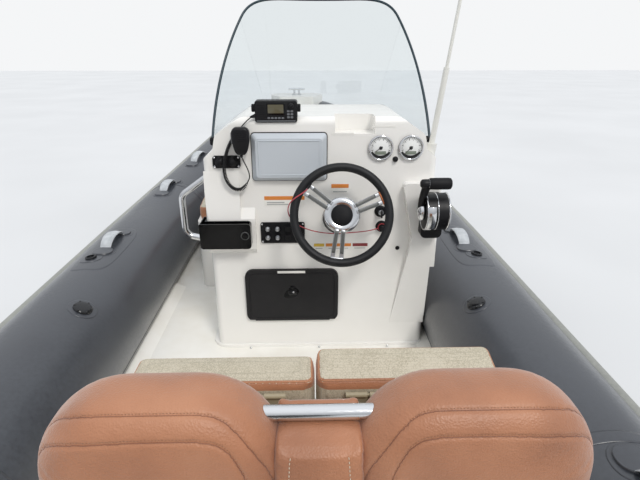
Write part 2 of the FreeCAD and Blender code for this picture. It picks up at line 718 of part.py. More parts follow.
def console_pods():
    """Raised panels of the aft face, each ending inside the wall behind it."""
    back = CONSOLE_WALL / 2
    left = CONSOLE_X - CONSOLE_HALF
    pod = slab(((POD_LEFT_LOW, POD_LOW_Z, 0), (POD_RIGHT, POD_LOW_Z, 0),
                (POD_RIGHT, POD_TOP_Z, 18), (POD_LEFT_TOP, POD_TOP_Z, 18)), "xz", -POD_T, back)
    knee = slab(((KNEE_LEFT, KNEE_LOW_Z, 0), (POD_RIGHT, KNEE_LOW_Z, 0), (POD_RIGHT, POD_LOW_Z, 0),
                 (POD_LEFT_LOW, POD_LOW_Z, 0)), "xz", -POD_T, back)
    knee = knee.common(slab(((0, KNEE_LOW_Z, 0), (-POD_T, POD_LOW_Z, 0), (back, POD_LOW_Z, 0),
                             (back, KNEE_LOW_Z, 0)), "yz", KNEE_LEFT, POD_RIGHT))
    knee = knee.cut(box(CONSOLE_X + CONSOLE_HALF, POD_RIGHT, -POD_T - 1, back + 1, KNEE_LOW_Z, TUBE_Z + TUBE_R + 25))
    port_pod = slab(((back, PORT_POD_LOW_Z, 0), (0, PORT_POD_LOW_Z, 0), (-PORT_POD_T, PORT_POD_LOW_Z + 22, 6),
                     (-PORT_POD_T, PORT_POD_TOP_Z - PORT_POD_SLOPE, 6), (0, PORT_POD_TOP_Z, 0),
                     (back, PORT_POD_TOP_Z, 0)), "yz", left, PORT_POD_RIGHT)
    column = slab(((back, PORT_POD_LOW_Z + 30, 0), (-PORT_POD_T, PORT_POD_LOW_Z + 30, 0),
                   (-PORT_POD_T, PORT_POD_TOP_Z - PORT_POD_SLOPE, 0), (0, COLUMN_TOP_Z, 0),
                   (back, COLUMN_TOP_Z, 0)), "yz", left, COLUMN_RIGHT)
    whole = fused([pod, knee, port_pod, column])
    plan = slab(((left, -POD_T, 0), (POD_RIGHT, -POD_T, POD_EDGE_R), (POD_RIGHT, 60, 0), (left, 60, 0)),
                "xy", DECK_Z, DASH_TOP)
    corner = slab(((left, -PORT_POD_T, POD_EDGE_R), (CONSOLE_X, -PORT_POD_T, 0), (CONSOLE_X, 60, 0), (left, 60, 0)),
                  "xy", DECK_Z, DASH_TOP)
    right = box(CONSOLE_X, POD_RIGHT, -POD_T, 60, DECK_Z, DASH_TOP)
    return whole.common(plan).common(corner.fuse(right))


def make_console(deck, cutters):
    """Hollow moulding with its foot flange, pods, tray and doorway, scribed to the deck and the tube."""
    shell = console_body(0.0)
    flange = slab(rectangle(CONSOLE_X, CONSOLE_LENGTH / 2, 2 * (CONSOLE_HALF + FLANGE_W),
                            CONSOLE_LENGTH + FLANGE_W, 70), "xy", DECK_Z, DECK_Z + FLANGE_T)
    flange = flange.common(box(-2000, 2000, -FLANGE_W, CONSOLE_LENGTH, 0, 1000))
    inside = console_body(CONSOLE_WALL)
    tray = slab(rectangle(TRAY_X, TRAY_LENGTH / 2 - 20, TRAY_W, TRAY_LENGTH + 40, 16), "xy", TRAY_Z, DASH_TOP + 20)
    pan = slab(rectangle(TRAY_X, TRAY_LENGTH / 2 - 20, TRAY_W + 2 * CONSOLE_WALL,
                         TRAY_LENGTH + 40 + 2 * CONSOLE_WALL, 16 + CONSOLE_WALL),
               "xy", TRAY_Z - CONSOLE_WALL, DASH_TOP + 20).common(shell)
    whole = fused([shell, flange, console_pods()])
    whole = whole.cut(inside.cut(pan)).cut(tray)
    doorway = slab(rectangle(DOOR_X, DOOR_Z, DOOR_W - 30, DOOR_H - 30, DOOR_R - 15),
                   "xz", -20, CONSOLE_WALL + 20)
    whole = whole.cut(doorway).cut(deck)
    for tube in cutters:
        whole = whole.cut(tube)
    return max(whole.Solids, key=lambda solid: solid.Volume)


def make_door():
    """Panel with a recessed latch; its foot is a round bead about the hinge line."""
    face = -SEAT_GAP - DOOR_T
    panel = slab(rectangle(DOOR_X, DOOR_Z, DOOR_W, DOOR_H, DOOR_R), "xz", face, -SEAT_GAP)
    low = DOOR_Z - DOOR_H / 2
    half = DOOR_W / 2 - DOOR_R
    panel = panel.cut(box(DOOR_X - DOOR_W, DOOR_X + DOOR_W, face - 1, 0, low - 1, low + DOOR_BEAD_R))
    bead_y = -SEAT_GAP - DOOR_T / 2
    bead = rod(DOOR_BEAD_R, Vector(DOOR_X - half, bead_y, low + DOOR_BEAD_R),
               Vector(DOOR_X + half, bead_y, low + DOOR_BEAD_R))
    latch = slab(((DOOR_X - 32, DOOR_Z + 8, 10), (DOOR_X - 8, DOOR_Z - 6, 10), (DOOR_X + 24, DOOR_Z + 6, 10),
                  (DOOR_X + 30, DOOR_Z + 22, 8), (DOOR_X + 2, DOOR_Z + 54, 10)), "xz", face - 1, face + 8)
    return panel.fuse(bead).cut(latch).removeSplitter()


def make_shield():
    """Part of an upright cylinder's wall, its edge raked forward and rounded, seated on the console."""
    centre = Vector(SHIELD_X, SHIELD_AFT_CUT + 20.0, SHIELD_FOOT_Z)
    height = SHIELD_TOP - SHIELD_FOOT_Z
    wall = Part.makeCylinder(SHIELD_R, height, centre)
    wall = wall.cut(Part.makeCylinder(SHIELD_R - SHIELD_T, height, centre))
    wall = wall.common(box(SHIELD_X - SHIELD_R, SHIELD_X + SHIELD_R, SHIELD_AFT_CUT, centre.y + SHIELD_R,
                           SHIELD_FOOT_Z, SHIELD_TOP))
    face = slab(((SHIELD_RAKE_LOW_Y, SHIELD_FOOT_Z, 0), (centre.y + SHIELD_R + 1, SHIELD_FOOT_Z, 0),
                 (centre.y + SHIELD_R + 1, SHIELD_TOP, 0), (SHIELD_RAKE_TOP_Y, SHIELD_TOP, SHIELD_CORNER_R),
                 (SHIELD_RAKE_LOW_Y, SHIELD_FOOT_Z + SHIELD_UPRIGHT, 30)),
                "yz", SHIELD_X - SHIELD_R, SHIELD_X + SHIELD_R)
    sheet = wall.common(face).cut(console_body(-SEAT_GAP))
    return max(sheet.Solids, key=lambda solid: solid.Volume)


def make_plotter():
    outer = slab(rectangle(PLOTTER_X, PLOTTER_Z, PLOTTER_W, PLOTTER_H, 12), "xz", -8.0, 0)
    back = outline(rectangle(PLOTTER_X, PLOTTER_Z, PLOTTER_W, PLOTTER_H, 12), in_plane("xz", -8.0))
    front = outline(rectangle(PLOTTER_X, PLOTTER_Z, PLOTTER_W - 2 * PLOTTER_BEVEL,
                              PLOTTER_H - 2 * PLOTTER_BEVEL, 12), in_plane("xz", -PLOTTER_T))
    return outer.fuse(Part.makeLoft([back, front], True, True)).removeSplitter()


def make_gauges():
    solids = []
    for x in GAUGE_XS:
        body = Part.makeCylinder(GAUGE_R, GAUGE_T, Vector(x, 0, GAUGE_Z), Vector(0, -1, 0))
        dish = Part.makeCylinder(GAUGE_R - GAUGE_LIP, 3.0, Vector(x, -GAUGE_T + 3.0, GAUGE_Z), Vector(0, -1, 0))
        solids.append(body.cut(dish))
    solids.append(Part.makeCylinder(KNOB_R, KNOB_T, Vector(KNOB_X, 0, KNOB_Z), Vector(0, -1, 0)))
    return Part.makeCompound(solids)


def make_radio():
    body = slab(rectangle(RADIO_X, RADIO_Z + 6, RADIO_W - 24, RADIO_H, 8), "xz", RADIO_AFT, RADIO_AFT + RADIO_DEEP)
    knobs = [rod(14, Vector(RADIO_X + dx, RADIO_AFT, RADIO_Z + 18), Vector(RADIO_X + dx, RADIO_AFT - 14, RADIO_Z + 18))
             for dx in (-RADIO_W / 2 + 26, RADIO_W / 2 - 26)]
    return fused([body] + knobs).cut(console_body(-SEAT_GAP))


def make_mic():
    """Fist microphone, wide at the top, hung on a round clip off the face."""
    body = slab(((MIC_X - 18, MIC_Z - MIC_H / 2, 14), (MIC_X + 18, MIC_Z - MIC_H / 2, 14),
                 (MIC_X + MIC_W / 2, MIC_Z + 4, 30), (MIC_X + MIC_W / 2 - 5, MIC_Z + MIC_H / 2, 14),
                 (MIC_X - MIC_W / 2 + 5, MIC_Z + MIC_H / 2, 14), (MIC_X - MIC_W / 2, MIC_Z + 4, 30)),
                "xz", -MIC_STAND - MIC_T, -MIC_STAND)
    clip = rod(MIC_CLIP_R, Vector(MIC_X, -MIC_STAND - 1, MIC_Z), Vector(MIC_X, -SEAT_GAP, MIC_Z))
    return body.fuse(clip).removeSplitter()


def make_sockets():
    plate = slab(rectangle(SOCKET_X, SOCKET_Z, SOCKET_W, SOCKET_H, 10), "xz", -PANEL_T, 0)
    for dx in (-24, 24):
        lid = Part.makeCylinder(SOCKET_R, 12, Vector(SOCKET_X + dx, -PANEL_T + 1, SOCKET_Z), Vector(0, -1, 0))
        plate = plate.fuse(lid)
    return plate.removeSplitter()


def make_switches():
    plate = slab(rectangle(SWITCH_X, SWITCH_Z, SWITCH_W, SWITCH_H, 8), "xz", -PANEL_T, 0)
    for dx in (-58, -20, 20, 58):
        for dz in (-18, 18):
            plate = plate.fuse(slab(rectangle(SWITCH_X + dx, SWITCH_Z + dz, 24, 22, 4), "xz", -PANEL_T - 7, -PANEL_T))
    return plate.removeSplitter()


def make_keys():
    solids = []
    for x, z in KEYS:
        collar = Part.makeCylinder(KEY_R, 8, Vector(x, 0, z), Vector(0, -1, 0))
        barrel = Part.makeCylinder(KEY_R - 6, KEY_T, Vector(x, 0, z), Vector(0, -1, 0))
        solids.append(collar.fuse(barrel).removeSplitter())
    return Part.makeCompound(solids)


def make_pocket():
    """Open pocket on the port pod that wraps the console's corner, with a round knob."""
    front = -PORT_POD_T - POCKET_STAND
    wall = POCKET_WALL
    outer = slab(((POCKET_LEFT, POCKET_LOW, 12), (POCKET_RIGHT, POCKET_LOW, 14), (POCKET_RIGHT, POCKET_TOP, 14),
                  (POCKET_LEFT, POCKET_TOP, 4)), "xz", front, POCKET_ARM)
    port_pod = box(CONSOLE_X - CONSOLE_HALF - SEAT_GAP, POCKET_RIGHT + 50, -PORT_POD_T - SEAT_GAP, POCKET_ARM + 1,
                   POCKET_LOW - 1, POCKET_TOP + 1)
    inner = box(POCKET_LEFT + wall, POCKET_RIGHT - wall, front + wall, -PORT_POD_T - SEAT_GAP - wall,
                POCKET_LOW + wall, POCKET_TOP + 1)
    arm = box(POCKET_LEFT + wall, CONSOLE_X - CONSOLE_HALF - SEAT_GAP - wall, front + wall, POCKET_ARM - wall,
              POCKET_LOW + wall, POCKET_TOP + 1)
    knob = Part.makeCylinder(POCKET_KNOB_R, 8, Vector(POCKET_RIGHT - 22, front + 1, (POCKET_LOW + POCKET_TOP) / 2 + 4),
                             Vector(0, -1, 0))
    return outer.cut(port_pod).cut(inner).cut(arm).fuse(knob).removeSplitter()


def make_rail():
    wall_x = CONSOLE_X - CONSOLE_HALF - SEAT_GAP
    out_x = wall_x - RAIL_REACH
    points = [Vector(wall_x, RAIL_Y, RAIL_TOP_Z), Vector(out_x, RAIL_Y, RAIL_TOP_Z - 75),
              Vector(out_x, RAIL_Y, RAIL_LOW_Z + 25), Vector(wall_x, RAIL_Y, RAIL_LOW_Z)]
    bar = bent_bar(points, 40, RAIL_R)
    feet = [Part.makeCylinder(26, 5, Vector(wall_x, RAIL_Y, z), Vector(-1, 0, 0)) for z in (RAIL_TOP_Z, RAIL_LOW_Z)]
    bar = fused([bar] + feet)
    return bar.cut(box(wall_x, wall_x + 100, RAIL_Y - 100, RAIL_Y + 100, 0, 2000))


def make_antenna():
    lean = math.radians(ANTENNA_LEAN)
    direction = Vector(math.sin(lean), 0, math.cos(lean))
    foot = Vector(ANTENNA_X, ANTENNA_Y, SHIELD_LEDGE_Z - 40)
    whip = fused([
        rod(ANTENNA_SLEEVE_R, foot, foot + direction * ANTENNA_SLEEVE),
        rod(ANTENNA_R, foot + direction * ANTENNA_SLEEVE, foot + direction * ANTENNA_LENGTH),
        rod(ANTENNA_FOOT_R, foot, foot + direction * 60)])
    return whip.cut(console_body(-SEAT_GAP))


def wheel_place(solid):
    """Turn a piece made about +Z so that +Z points at the driver, and set it at the wheel's centre."""
    tilt = math.radians(WHEEL_TILT)
    solid.Placement = FreeCAD.Placement(FreeCAD.Matrix(
        1, 0, 0, WHEEL_X,
        0, math.sin(tilt), -math.cos(tilt), -WHEEL_STAND,
        0, math.cos(tilt), math.sin(tilt), WHEEL_Z,
        0, 0, 0, 1)).multiply(solid.Placement)
    return solid


def make_wheel():
    ring_r = WHEEL_R - RIM_R
    pieces = [Part.makeTorus(ring_r, RIM_R), Part.makeCylinder(HUB_R, HUB_T, Vector(0, 0, -HUB_T - 10)),
              Part.makeCone(CAP_DOME_R + 6, CAP_DOME_R - 8, 16, Vector(0, 0, -10)),
              Part.makeCylinder(SHAFT_R, 110, Vector(0, 0, -HUB_T - 120))]
    for angle in SPOKE_ANGLES:
        for split in (-SPOKE_SPLIT, SPOKE_SPLIT):
            a = math.radians(angle)
            along = Vector(math.cos(a), math.sin(a), 0)
            aside = Vector(-math.sin(a), math.cos(a), 0) * split
            pieces.append(rod(SPOKE_R, along * (HUB_R - 12) + aside + Vector(0, 0, -HUB_T / 2 - 10),
                              along * (ring_r - 2) + aside))
    return wheel_place(fused(pieces))


def make_helm():
    tilt = math.radians(WHEEL_TILT)
    depth = WHEEL_STAND / math.cos(tilt)
    boss = Part.makeCone(HELM_R, HELM_R - 22, 90, Vector(0, 0, -depth - 30))
    boss = boss.cut(Part.makeCylinder(SHAFT_R + PIN_CLEAR, 300, Vector(0, 0, -depth - 60)))
    return wheel_place(boss).cut(box(-500, 900, 0, 300, 0, 2000))


def make_throttle():
    body = Part.makeCylinder(68, 80, Vector(LEVER_X - 20, -POD_T - LEVER_STAND, LEVER_Z), Vector(1, 0, 0))
    block = slab(rectangle(LEVER_X + 20, LEVER_Z - 30, 80, 170, 20), "xz", -POD_T - 40, -POD_T)
    whole = body.fuse(block)
    bore = rod(9.0 + PIN_CLEAR, Vector(LEVER_X - 60, -POD_T - LEVER_STAND, LEVER_Z), Vector(LEVER_X + 10, -POD_T - LEVER_STAND, LEVER_Z))
    return whole.cut(bore).cut(box(0, 900, -POD_T, 100, 0, 2000)).removeSplitter()


def make_lever():
    y, z = -POD_T - LEVER_STAND, LEVER_Z
    lean = math.radians(LEVER_LEAN)
    tip = Vector(LEVER_X - 34, y - LEVER_ARM_LENGTH * math.sin(lean), z + LEVER_ARM_LENGTH * math.cos(lean))
    hub = rod(LEVER_HUB_R, Vector(LEVER_X - 45, y, z), Vector(LEVER_X - 22, y, z))
    pin = rod(9.0, Vector(LEVER_X - 30, y, z), Vector(LEVER_X + 5, y, z))
    arm = rod(11, Vector(LEVER_X - 34, y, z), tip)
    grip = rod(GRIP_R, tip - Vector(14, 0, 0), tip + Vector(GRIP_LENGTH, 0, 0))
    return fused([hub, pin, arm, grip])


def make_seat_base():
    low = DECK_Z
    top = DECK_Z + SEAT_BASE_H
    side = slab(((SEAT_AFT + 60, low, 0), (SEAT_FWD - 110, low, 0), (SEAT_FWD - 90, low + 110, 20),
                 (SEAT_FWD - 4, top - 40, 20), (SEAT_FWD - 4, top, 0), (SEAT_AFT, top, 20)),
                "yz", SEAT_X - SEAT_HALF + SEAT_BASE_INSET, SEAT_X + SEAT_HALF - SEAT_BASE_INSET)
    back = slab(((SEAT_AFT, top - 20, 0), (SEAT_AFT + 35, top - 20, 0), (SEAT_AFT + 35, top + 190, 15),
                 (SEAT_AFT, top + 190, 15)),
                "yz", SEAT_X - SEAT_HALF + SEAT_BASE_INSET, SEAT_X + SEAT_HALF - SEAT_BASE_INSET)
    return side.fuse(back).removeSplitter()


BOLSTER_AFT = SEAT_FWD - BOLSTER_DEEP
BOLSTER_LOW = DECK_Z + SEAT_BASE_H + 12.0
HINGE_Y = BOLSTER_AFT - HINGE_R + 1.0
HINGE_Z = CUSHION_TOP + HINGE_R + 2.0
BOLSTER_ENDS = {"port": (SEAT_X - SEAT_HALF, SEAT_X - BOLSTER_GAP / 2),
                "starboard": (SEAT_X + BOLSTER_GAP / 2, SEAT_X + SEAT_HALF)}


def make_seat_cushion():
    low = DECK_Z + SEAT_BASE_H + SEAT_GAP
    return slab(((SEAT_AFT + 40, low, 0), (HINGE_Y - 8, low, 10), (HINGE_Y - 8, CUSHION_TOP, 20),
                 (SEAT_AFT + 40, CUSHION_TOP, 20)), "yz", SEAT_X - SEAT_HALF + 4, SEAT_X + SEAT_HALF - 4)


def make_bolster(side):
    x0, x1 = BOLSTER_ENDS[side]
    return slab(((BOLSTER_AFT + 3, BOLSTER_LOW, 20), (SEAT_FWD, BOLSTER_LOW, 30),
                 (SEAT_FWD, BOLSTER_TOP + BOLSTER_LIFT[side], 22), (BOLSTER_AFT + 3, BOLSTER_TOP, 12)), "yz", x0, x1)


def make_bolster_leaf(side):
    """Moving leaf on the bolster's rear face with two barrels round the hinge pin."""
    x0, x1 = BOLSTER_ENDS[side]
    middle = (x0 + x1) / 2
    leaf_y = (BOLSTER_AFT, BOLSTER_AFT + 3 - SEAT_GAP)
    leaf = box(middle - 144, middle + 144, *leaf_y, HINGE_Z - 2 * HINGE_R - LEAF_H, HINGE_Z - 2 * HINGE_R)
    barrels = []
    for dx in (-120, 120):
        barrels.append(box(middle + dx - 24, middle + dx + 24, *leaf_y, HINGE_Z - 2 * HINGE_R - LEAF_H, HINGE_Z))
        barrels.append(rod(HINGE_R, Vector(middle + dx - 24, HINGE_Y, HINGE_Z),
                           Vector(middle + dx + 24, HINGE_Y, HINGE_Z)))
    bore = rod(HINGE_R / 2 + PIN_CLEAR, Vector(x0, HINGE_Y, HINGE_Z), Vector(x1, HINGE_Y, HINGE_Z))
    return fused([leaf] + barrels).cut(bore)


def make_seat_hinges():
    """Fixed leaf standing on the seat base, its barrels between the moving ones, and the two pins."""
    solids = []
    for side in ("port", "starboard"):
        x0, x1 = BOLSTER_ENDS[side]
        middle = (x0 + x1) / 2
        leaf = box(middle - 90, middle + 90, HINGE_Y - HINGE_R + 0.5, HINGE_Y - HINGE_R + 3.5,
                   DECK_Z + SEAT_BASE_H, HINGE_Z)
        barrel = rod(HINGE_R, Vector(middle - 90, HINGE_Y, HINGE_Z), Vector(middle + 90, HINGE_Y, HINGE_Z))
        pin = rod(HINGE_R / 2, Vector(middle - 143, HINGE_Y, HINGE_Z), Vector(middle + 143, HINGE_Y, HINGE_Z))
        solids.append(fused([leaf, barrel, pin]))
    return Part.makeCompound(solids)


def make_back(side):
    """One lobe of the backrest: rounded in side view and, more so, at its top corners."""
    x = SEAT_X + side * (BACK_X_GAP + BACK_W) / 2
    low, high = CUSHION_TOP + SEAT_GAP, BACK_TOP - SEAT_GAP
    profile = slab(rectangle(BACK_Y, (low + high) / 2, BACK_T, high - low, BACK_ROUND), "yz", x - BACK_W / 2, x + BACK_W / 2)
    face = slab(((x - BACK_W / 2, low, 30), (x + BACK_W / 2, low, 30), (x + BACK_W / 2, high, BACK_CORNER_R),
                 (x - BACK_W / 2, high, BACK_CORNER_R)), "xz", BACK_Y - BACK_T, BACK_Y + BACK_T)
    return profile.common(face)


def make_seat_centre():
    top = BACK_TOP - SEAT_CENTRE_DROP
    return slab(rectangle(BACK_Y - 15, (CUSHION_TOP + top) / 2, BACK_T - 50, top - CUSHION_TOP - 2 * SEAT_GAP, 35),
                "yz", SEAT_X - BACK_X_GAP / 2 + SEAT_GAP, SEAT_X + BACK_X_GAP / 2 - SEAT_GAP)


def make_seat_bar(backs):
    """Straight bright bar between the two lobes of the backrest."""
    inset = BACK_CORNER_R / 3
    z = BACK_TOP - SEAT_BAR_DROP
    y = BACK_Y + 6.0
    bar = rod(SEAT_BAR_R, Vector(SEAT_X - BACK_X_GAP / 2 - inset, y, z), Vector(SEAT_X + BACK_X_GAP / 2 + inset, y, z))
    for back in backs:
        bar = bar.cut(back)
    return max(bar.Solids, key=lambda solid: solid.Volume)


def make_clamp():
    """Two hooked plates over the transom, tied by the tilt tube's ends."""
    corners = ((TRANSOM_Y + TRANSOM_THICK + SEAT_GAP + 12, TRANSOM_TOP - 70, 4),
               (TRANSOM_Y + TRANSOM_THICK + SEAT_GAP + 12, TRANSOM_TOP + 30, 20),
               (TRANSOM_Y - 20, TILT_Z + 30, 20), (TILT_Y - 30, TILT_Z + 30, 20),
               (TILT_Y - 40, TILT_Z - 40, 15), (TRANSOM_Y - 14, TRANSOM_TOP - 270, 4),
               (TRANSOM_Y - SEAT_GAP, TRANSOM_TOP - 270, 0), (TRANSOM_Y - SEAT_GAP, TRANSOM_TOP + SEAT_GAP, 0),
               (TRANSOM_Y + TRANSOM_THICK + SEAT_GAP, TRANSOM_TOP + SEAT_GAP, 0),
               (TRANSOM_Y + TRANSOM_THICK + SEAT_GAP, TRANSOM_TOP - 70, 0))
    plates = [slab(corners, "yz", x, x + 14) for x in (-126, 112)]
    bridge = box(-126, 126, TRANSOM_Y - 14, TRANSOM_Y - SEAT_GAP, TRANSOM_TOP - 270, TRANSOM_TOP - 240)
    bore = rod(TILT_R + PIN_CLEAR, Vector(-300, TILT_Y, TILT_Z), Vector(300, TILT_Y, TILT_Z))
    return fused(plates + [bridge]).cut(bore)


def make_swivel():
    body = slab(((TILT_Y + 20, TILT_Z + 18, 15), (TRANSOM_Y - 22, TILT_Z - 40, 10), (TRANSOM_Y - 40, 120, 10),
                 (ENGINE_Y, 110, 0), (ENGINE_Y, TILT_Z + 18, 0)), "yz", -40, 40)
    sleeve = rod(38, Vector(0, ENGINE_Y, 100), Vector(0, ENGINE_Y, 410))
    tube = rod(TILT_R, Vector(-132, TILT_Y, TILT_Z), Vector(132, TILT_Y, TILT_Z))
    boss = rod(26, Vector(-104, TILT_Y, TILT_Z), Vector(104, TILT_Y, TILT_Z))
    bore = rod(20 + PIN_CLEAR, Vector(0, ENGINE_Y, 0), Vector(0, ENGINE_Y, 600))
    return fused([body, sleeve, tube, boss]).cut(bore)


def ellipse_wire(y, z, length, width):
    """Racetrack section of the leg at a height: rounded ends fore and aft."""
    radius = width / 2 - 0.5
    return outline(rectangle(0, y, width, length, radius), in_plane("xy", z))


def make_leg():
    leg_y = ENGINE_Y - LEG_BACK
    trunk = Part.makeLoft([ellipse_wire(leg_y, LEG_LOW, 190, 70), ellipse_wire(leg_y, 40, 150, 96),
                           ellipse_wire(leg_y, COWL_LOW - 40, 150, 130)], True, True)
    pin = rod(20, Vector(0, ENGINE_Y, 60), Vector(0, ENGINE_Y, COWL_LOW - 40))
    low_yoke = box(-30, 30, leg_y, ENGINE_Y + 25, 60, 94)
    high_yoke = box(-45, 45, leg_y, ENGINE_Y + 40, 416, COWL_LOW - 20)
    plate = slab(((-60, leg_y + 110, 50), (60, leg_y + 110, 50), (95, leg_y - 190, 60), (-95, leg_y - 190, 60)),
                 "xy", LEG_LOW, LEG_LOW + 10)
    lower = Part.makeLoft([ellipse_wire(leg_y, PROP_Z, 190, 44), ellipse_wire(leg_y, LEG_LOW, 190, 60)], True, True)
    torpedo = Part.makeCylinder(GEARCASE_R, 230, Vector(0, leg_y - 120, PROP_Z), Vector(0, 1, 0))
    nose = Part.makeCone(GEARCASE_R, 8, 100, Vector(0, leg_y + 110, PROP_Z), Vector(0, 1, 0))
    skeg = slab(((leg_y + 60, PROP_Z - 30, 0), (leg_y - 110, PROP_Z - 30, 0), (leg_y - 110, PROP_Z - 170, 20),
                 (leg_y - 50, PROP_Z - 180, 20)), "yz", -6, 6)
    bore = rod(SHAFT_PROP_R + PIN_CLEAR, Vector(0, leg_y - 200, PROP_Z), Vector(0, leg_y - 40, PROP_Z))
    tray = slab(rectangle(0, ENGINE_Y - 160, 320, 480, 90), "xy", COWL_LOW - 40, COWL_LOW - SEAT_GAP)
    return fused([trunk, pin, low_yoke, high_yoke, plate, lower, torpedo, nose, skeg, tray]).cut(bore)


COWL_SECTIONS = ((0.0, 340.0, 500.0, -10.0), (0.25, 396.0, 600.0, -20.0),
                 (0.72, 380.0, 590.0, -20.0), (1.0, 240.0, 380.0, -40.0))


def cowl_body(inset):
    wires = []
    for share, width, length, shift in COWL_SECTIONS:
        z = COWL_LOW + inset + share * (COWL_H - 2 * inset)
        wires.append(outline(rectangle(0, ENGINE_Y - 160 + shift, width - 2 * inset, length - 2 * inset,
                                       90 - inset / 2), in_plane("xy", z)))
    return Part.makeLoft(wires, True, True)


def make_cowl():
    return cowl_body(0.0).cut(cowl_body(6.0)).cut(box(-120, 120, ENGINE_Y - 350, ENGINE_Y + 20, COWL_LOW - 5, COWL_LOW + 7))


def make_engine():
    return box(-110, 110, ENGINE_Y - 330, ENGINE_Y + 10, COWL_LOW, COWL_LOW + 420)


def make_propeller():
    leg_y = ENGINE_Y - LEG_BACK
    y = leg_y - 120.0 - 5.0
    hub = Part.makeCone(44, 30, 110, Vector(0, y, PROP_Z), Vector(0, -1, 0))
    shaft = rod(SHAFT_PROP_R, Vector(0, y - 50, PROP_Z), Vector(0, leg_y - 60, PROP_Z))
    pieces = [hub, shaft]
    for k in range(3):
        blade = slab(((-30, 30, 0), (30, 30, 0), (70, PROP_R - 42, 46), (18, PROP_R, 38), (-52, PROP_R - 50, 46)),
                     "xz", -4, 4)
        blade.rotate(Vector(0, 0, 0), Vector(0, 0, 1), 35)
        blade.translate(Vector(0, y - 50, 0))
        blade.rotate(Vector(0, 0, 0), Vector(0, 1, 0), 120 * k)
        blade.translate(Vector(0, 0, PROP_Z))
        pieces.append(blade)
    return fused(pieces)


# Cords: routes by hand, in order from the fixed end; the curly stretch is one fat tube
LEAD_R = 2.5
COIL_R = 7.5
LANYARD_R = 2.0
RADIO_LEAD = ((-86.0, -3.0, 1132.0), (-98.0, -10.0, 1129.0), (-111.0, -12.5, 1120.0), (-125.0, -12.5, 1107.0),
              (-140.0, -12.0, 1090.0))
COIL_ROUTE = ((-140.0, -12.0, 1090.0), (-158.0, -12.0, 1069.0), (-176.0, -15.0, 1044.0), (-190.0, -20.5, 1016.0),
              (-200.0, -26.5, 985.0), (-206.0, -29.0, 952.0), (-205.0, -29.0, 920.0), (-195.0, -28.0, 890.0),
              (-175.0, -27.0, 868.0), (-150.0, -26.0, 865.0), (-131.0, -25.0, 880.0), (-120.0, -25.0, 900.0))
MIC_LEAD = ((-120.0, -25.0, 900.0), (-115.0, -25.5, 911.0), (-115.0, -27.0, 925.0), (-119.0, -30.0, 942.0),
            (-126.0, -34.0, 961.0), (-134.0, -38.0, 980.0), (-141.0, -39.0, 1000.0))
LANYARD = ((374.4, -16.0, 703.9), (362.0, -17.0, 700.8), (348.0, -22.0, 698.5), (331.0, -31.0, 698.5),
           (310.0, -43.0, 700.5), (286.0, -56.0, 703.5), (259.0, -69.0, 706.5), (230.0, -82.0, 709.5),
           (200.0, -94.0, 713.5), (170.0, -105.0, 719.0), (140.0, -115.0, 727.0), (110.0, -126.0, 738.5),
           (80.0, -138.5, 755.0), (52.1, -151.4, 777.0), (33.0, -150.1, 801.2), (27.4, -157.0, 832.1),
           (39.3, -164.5, 861.0), (63.4, -165.0, 880.2), (86.0, -157.0, 891.0), (99.2, -149.0, 902.0))
HOOK_R = 3.5
HOOK_LENGTH = 22.0
HOOK_ALONG = Vector(0.602, 0.273, 0.751)


def make_lanyard_hook():
    end = Vector(*LANYARD[-1])
    return rod(HOOK_R, end, end + HOOK_ALONG * HOOK_LENGTH)


def cord_tube(route, radius):
    """Round tube along straight runs joined by tangent arcs as large as the runs allow."""
    points = [Vector(*p) for p in route]
    edges = []
    last = points[0]
    smallest = 1e9
    for before, here, after in zip(points, points[1:], points[2:]):
        back = before - here
        ahead = after - here
        cut = 0.45 * min(back.Length, ahead.Length)
        back.normalize()
        ahead.normalize()
        half = back.getAngle(ahead) / 2
        bend = cut * math.tan(half)
        smallest = min(smallest, bend)
        middle = here + (back + ahead).normalize() * (bend / math.sin(half) - bend)
        edges.append(Part.LineSegment(last, here + back * cut).toShape())
        edges.append(Part.Arc(here + back * cut, middle, here + ahead * cut).toShape())
        last = here + ahead * cut
    edges.append(Part.LineSegment(last, points[-1]).toShape())
    path = Part.Wire(edges)
    profile = Part.Wire([Part.makeCircle(radius, points[0], points[1] - points[0])])
    tube = path.makePipeShell([profile], True, True)
    share = tube.Volume / (math.pi * radius ** 2 * path.Length)
    print("cord", round(path.Length), "mm, smallest radius", round(smallest), "volume share", round(share, 3))
    return tube


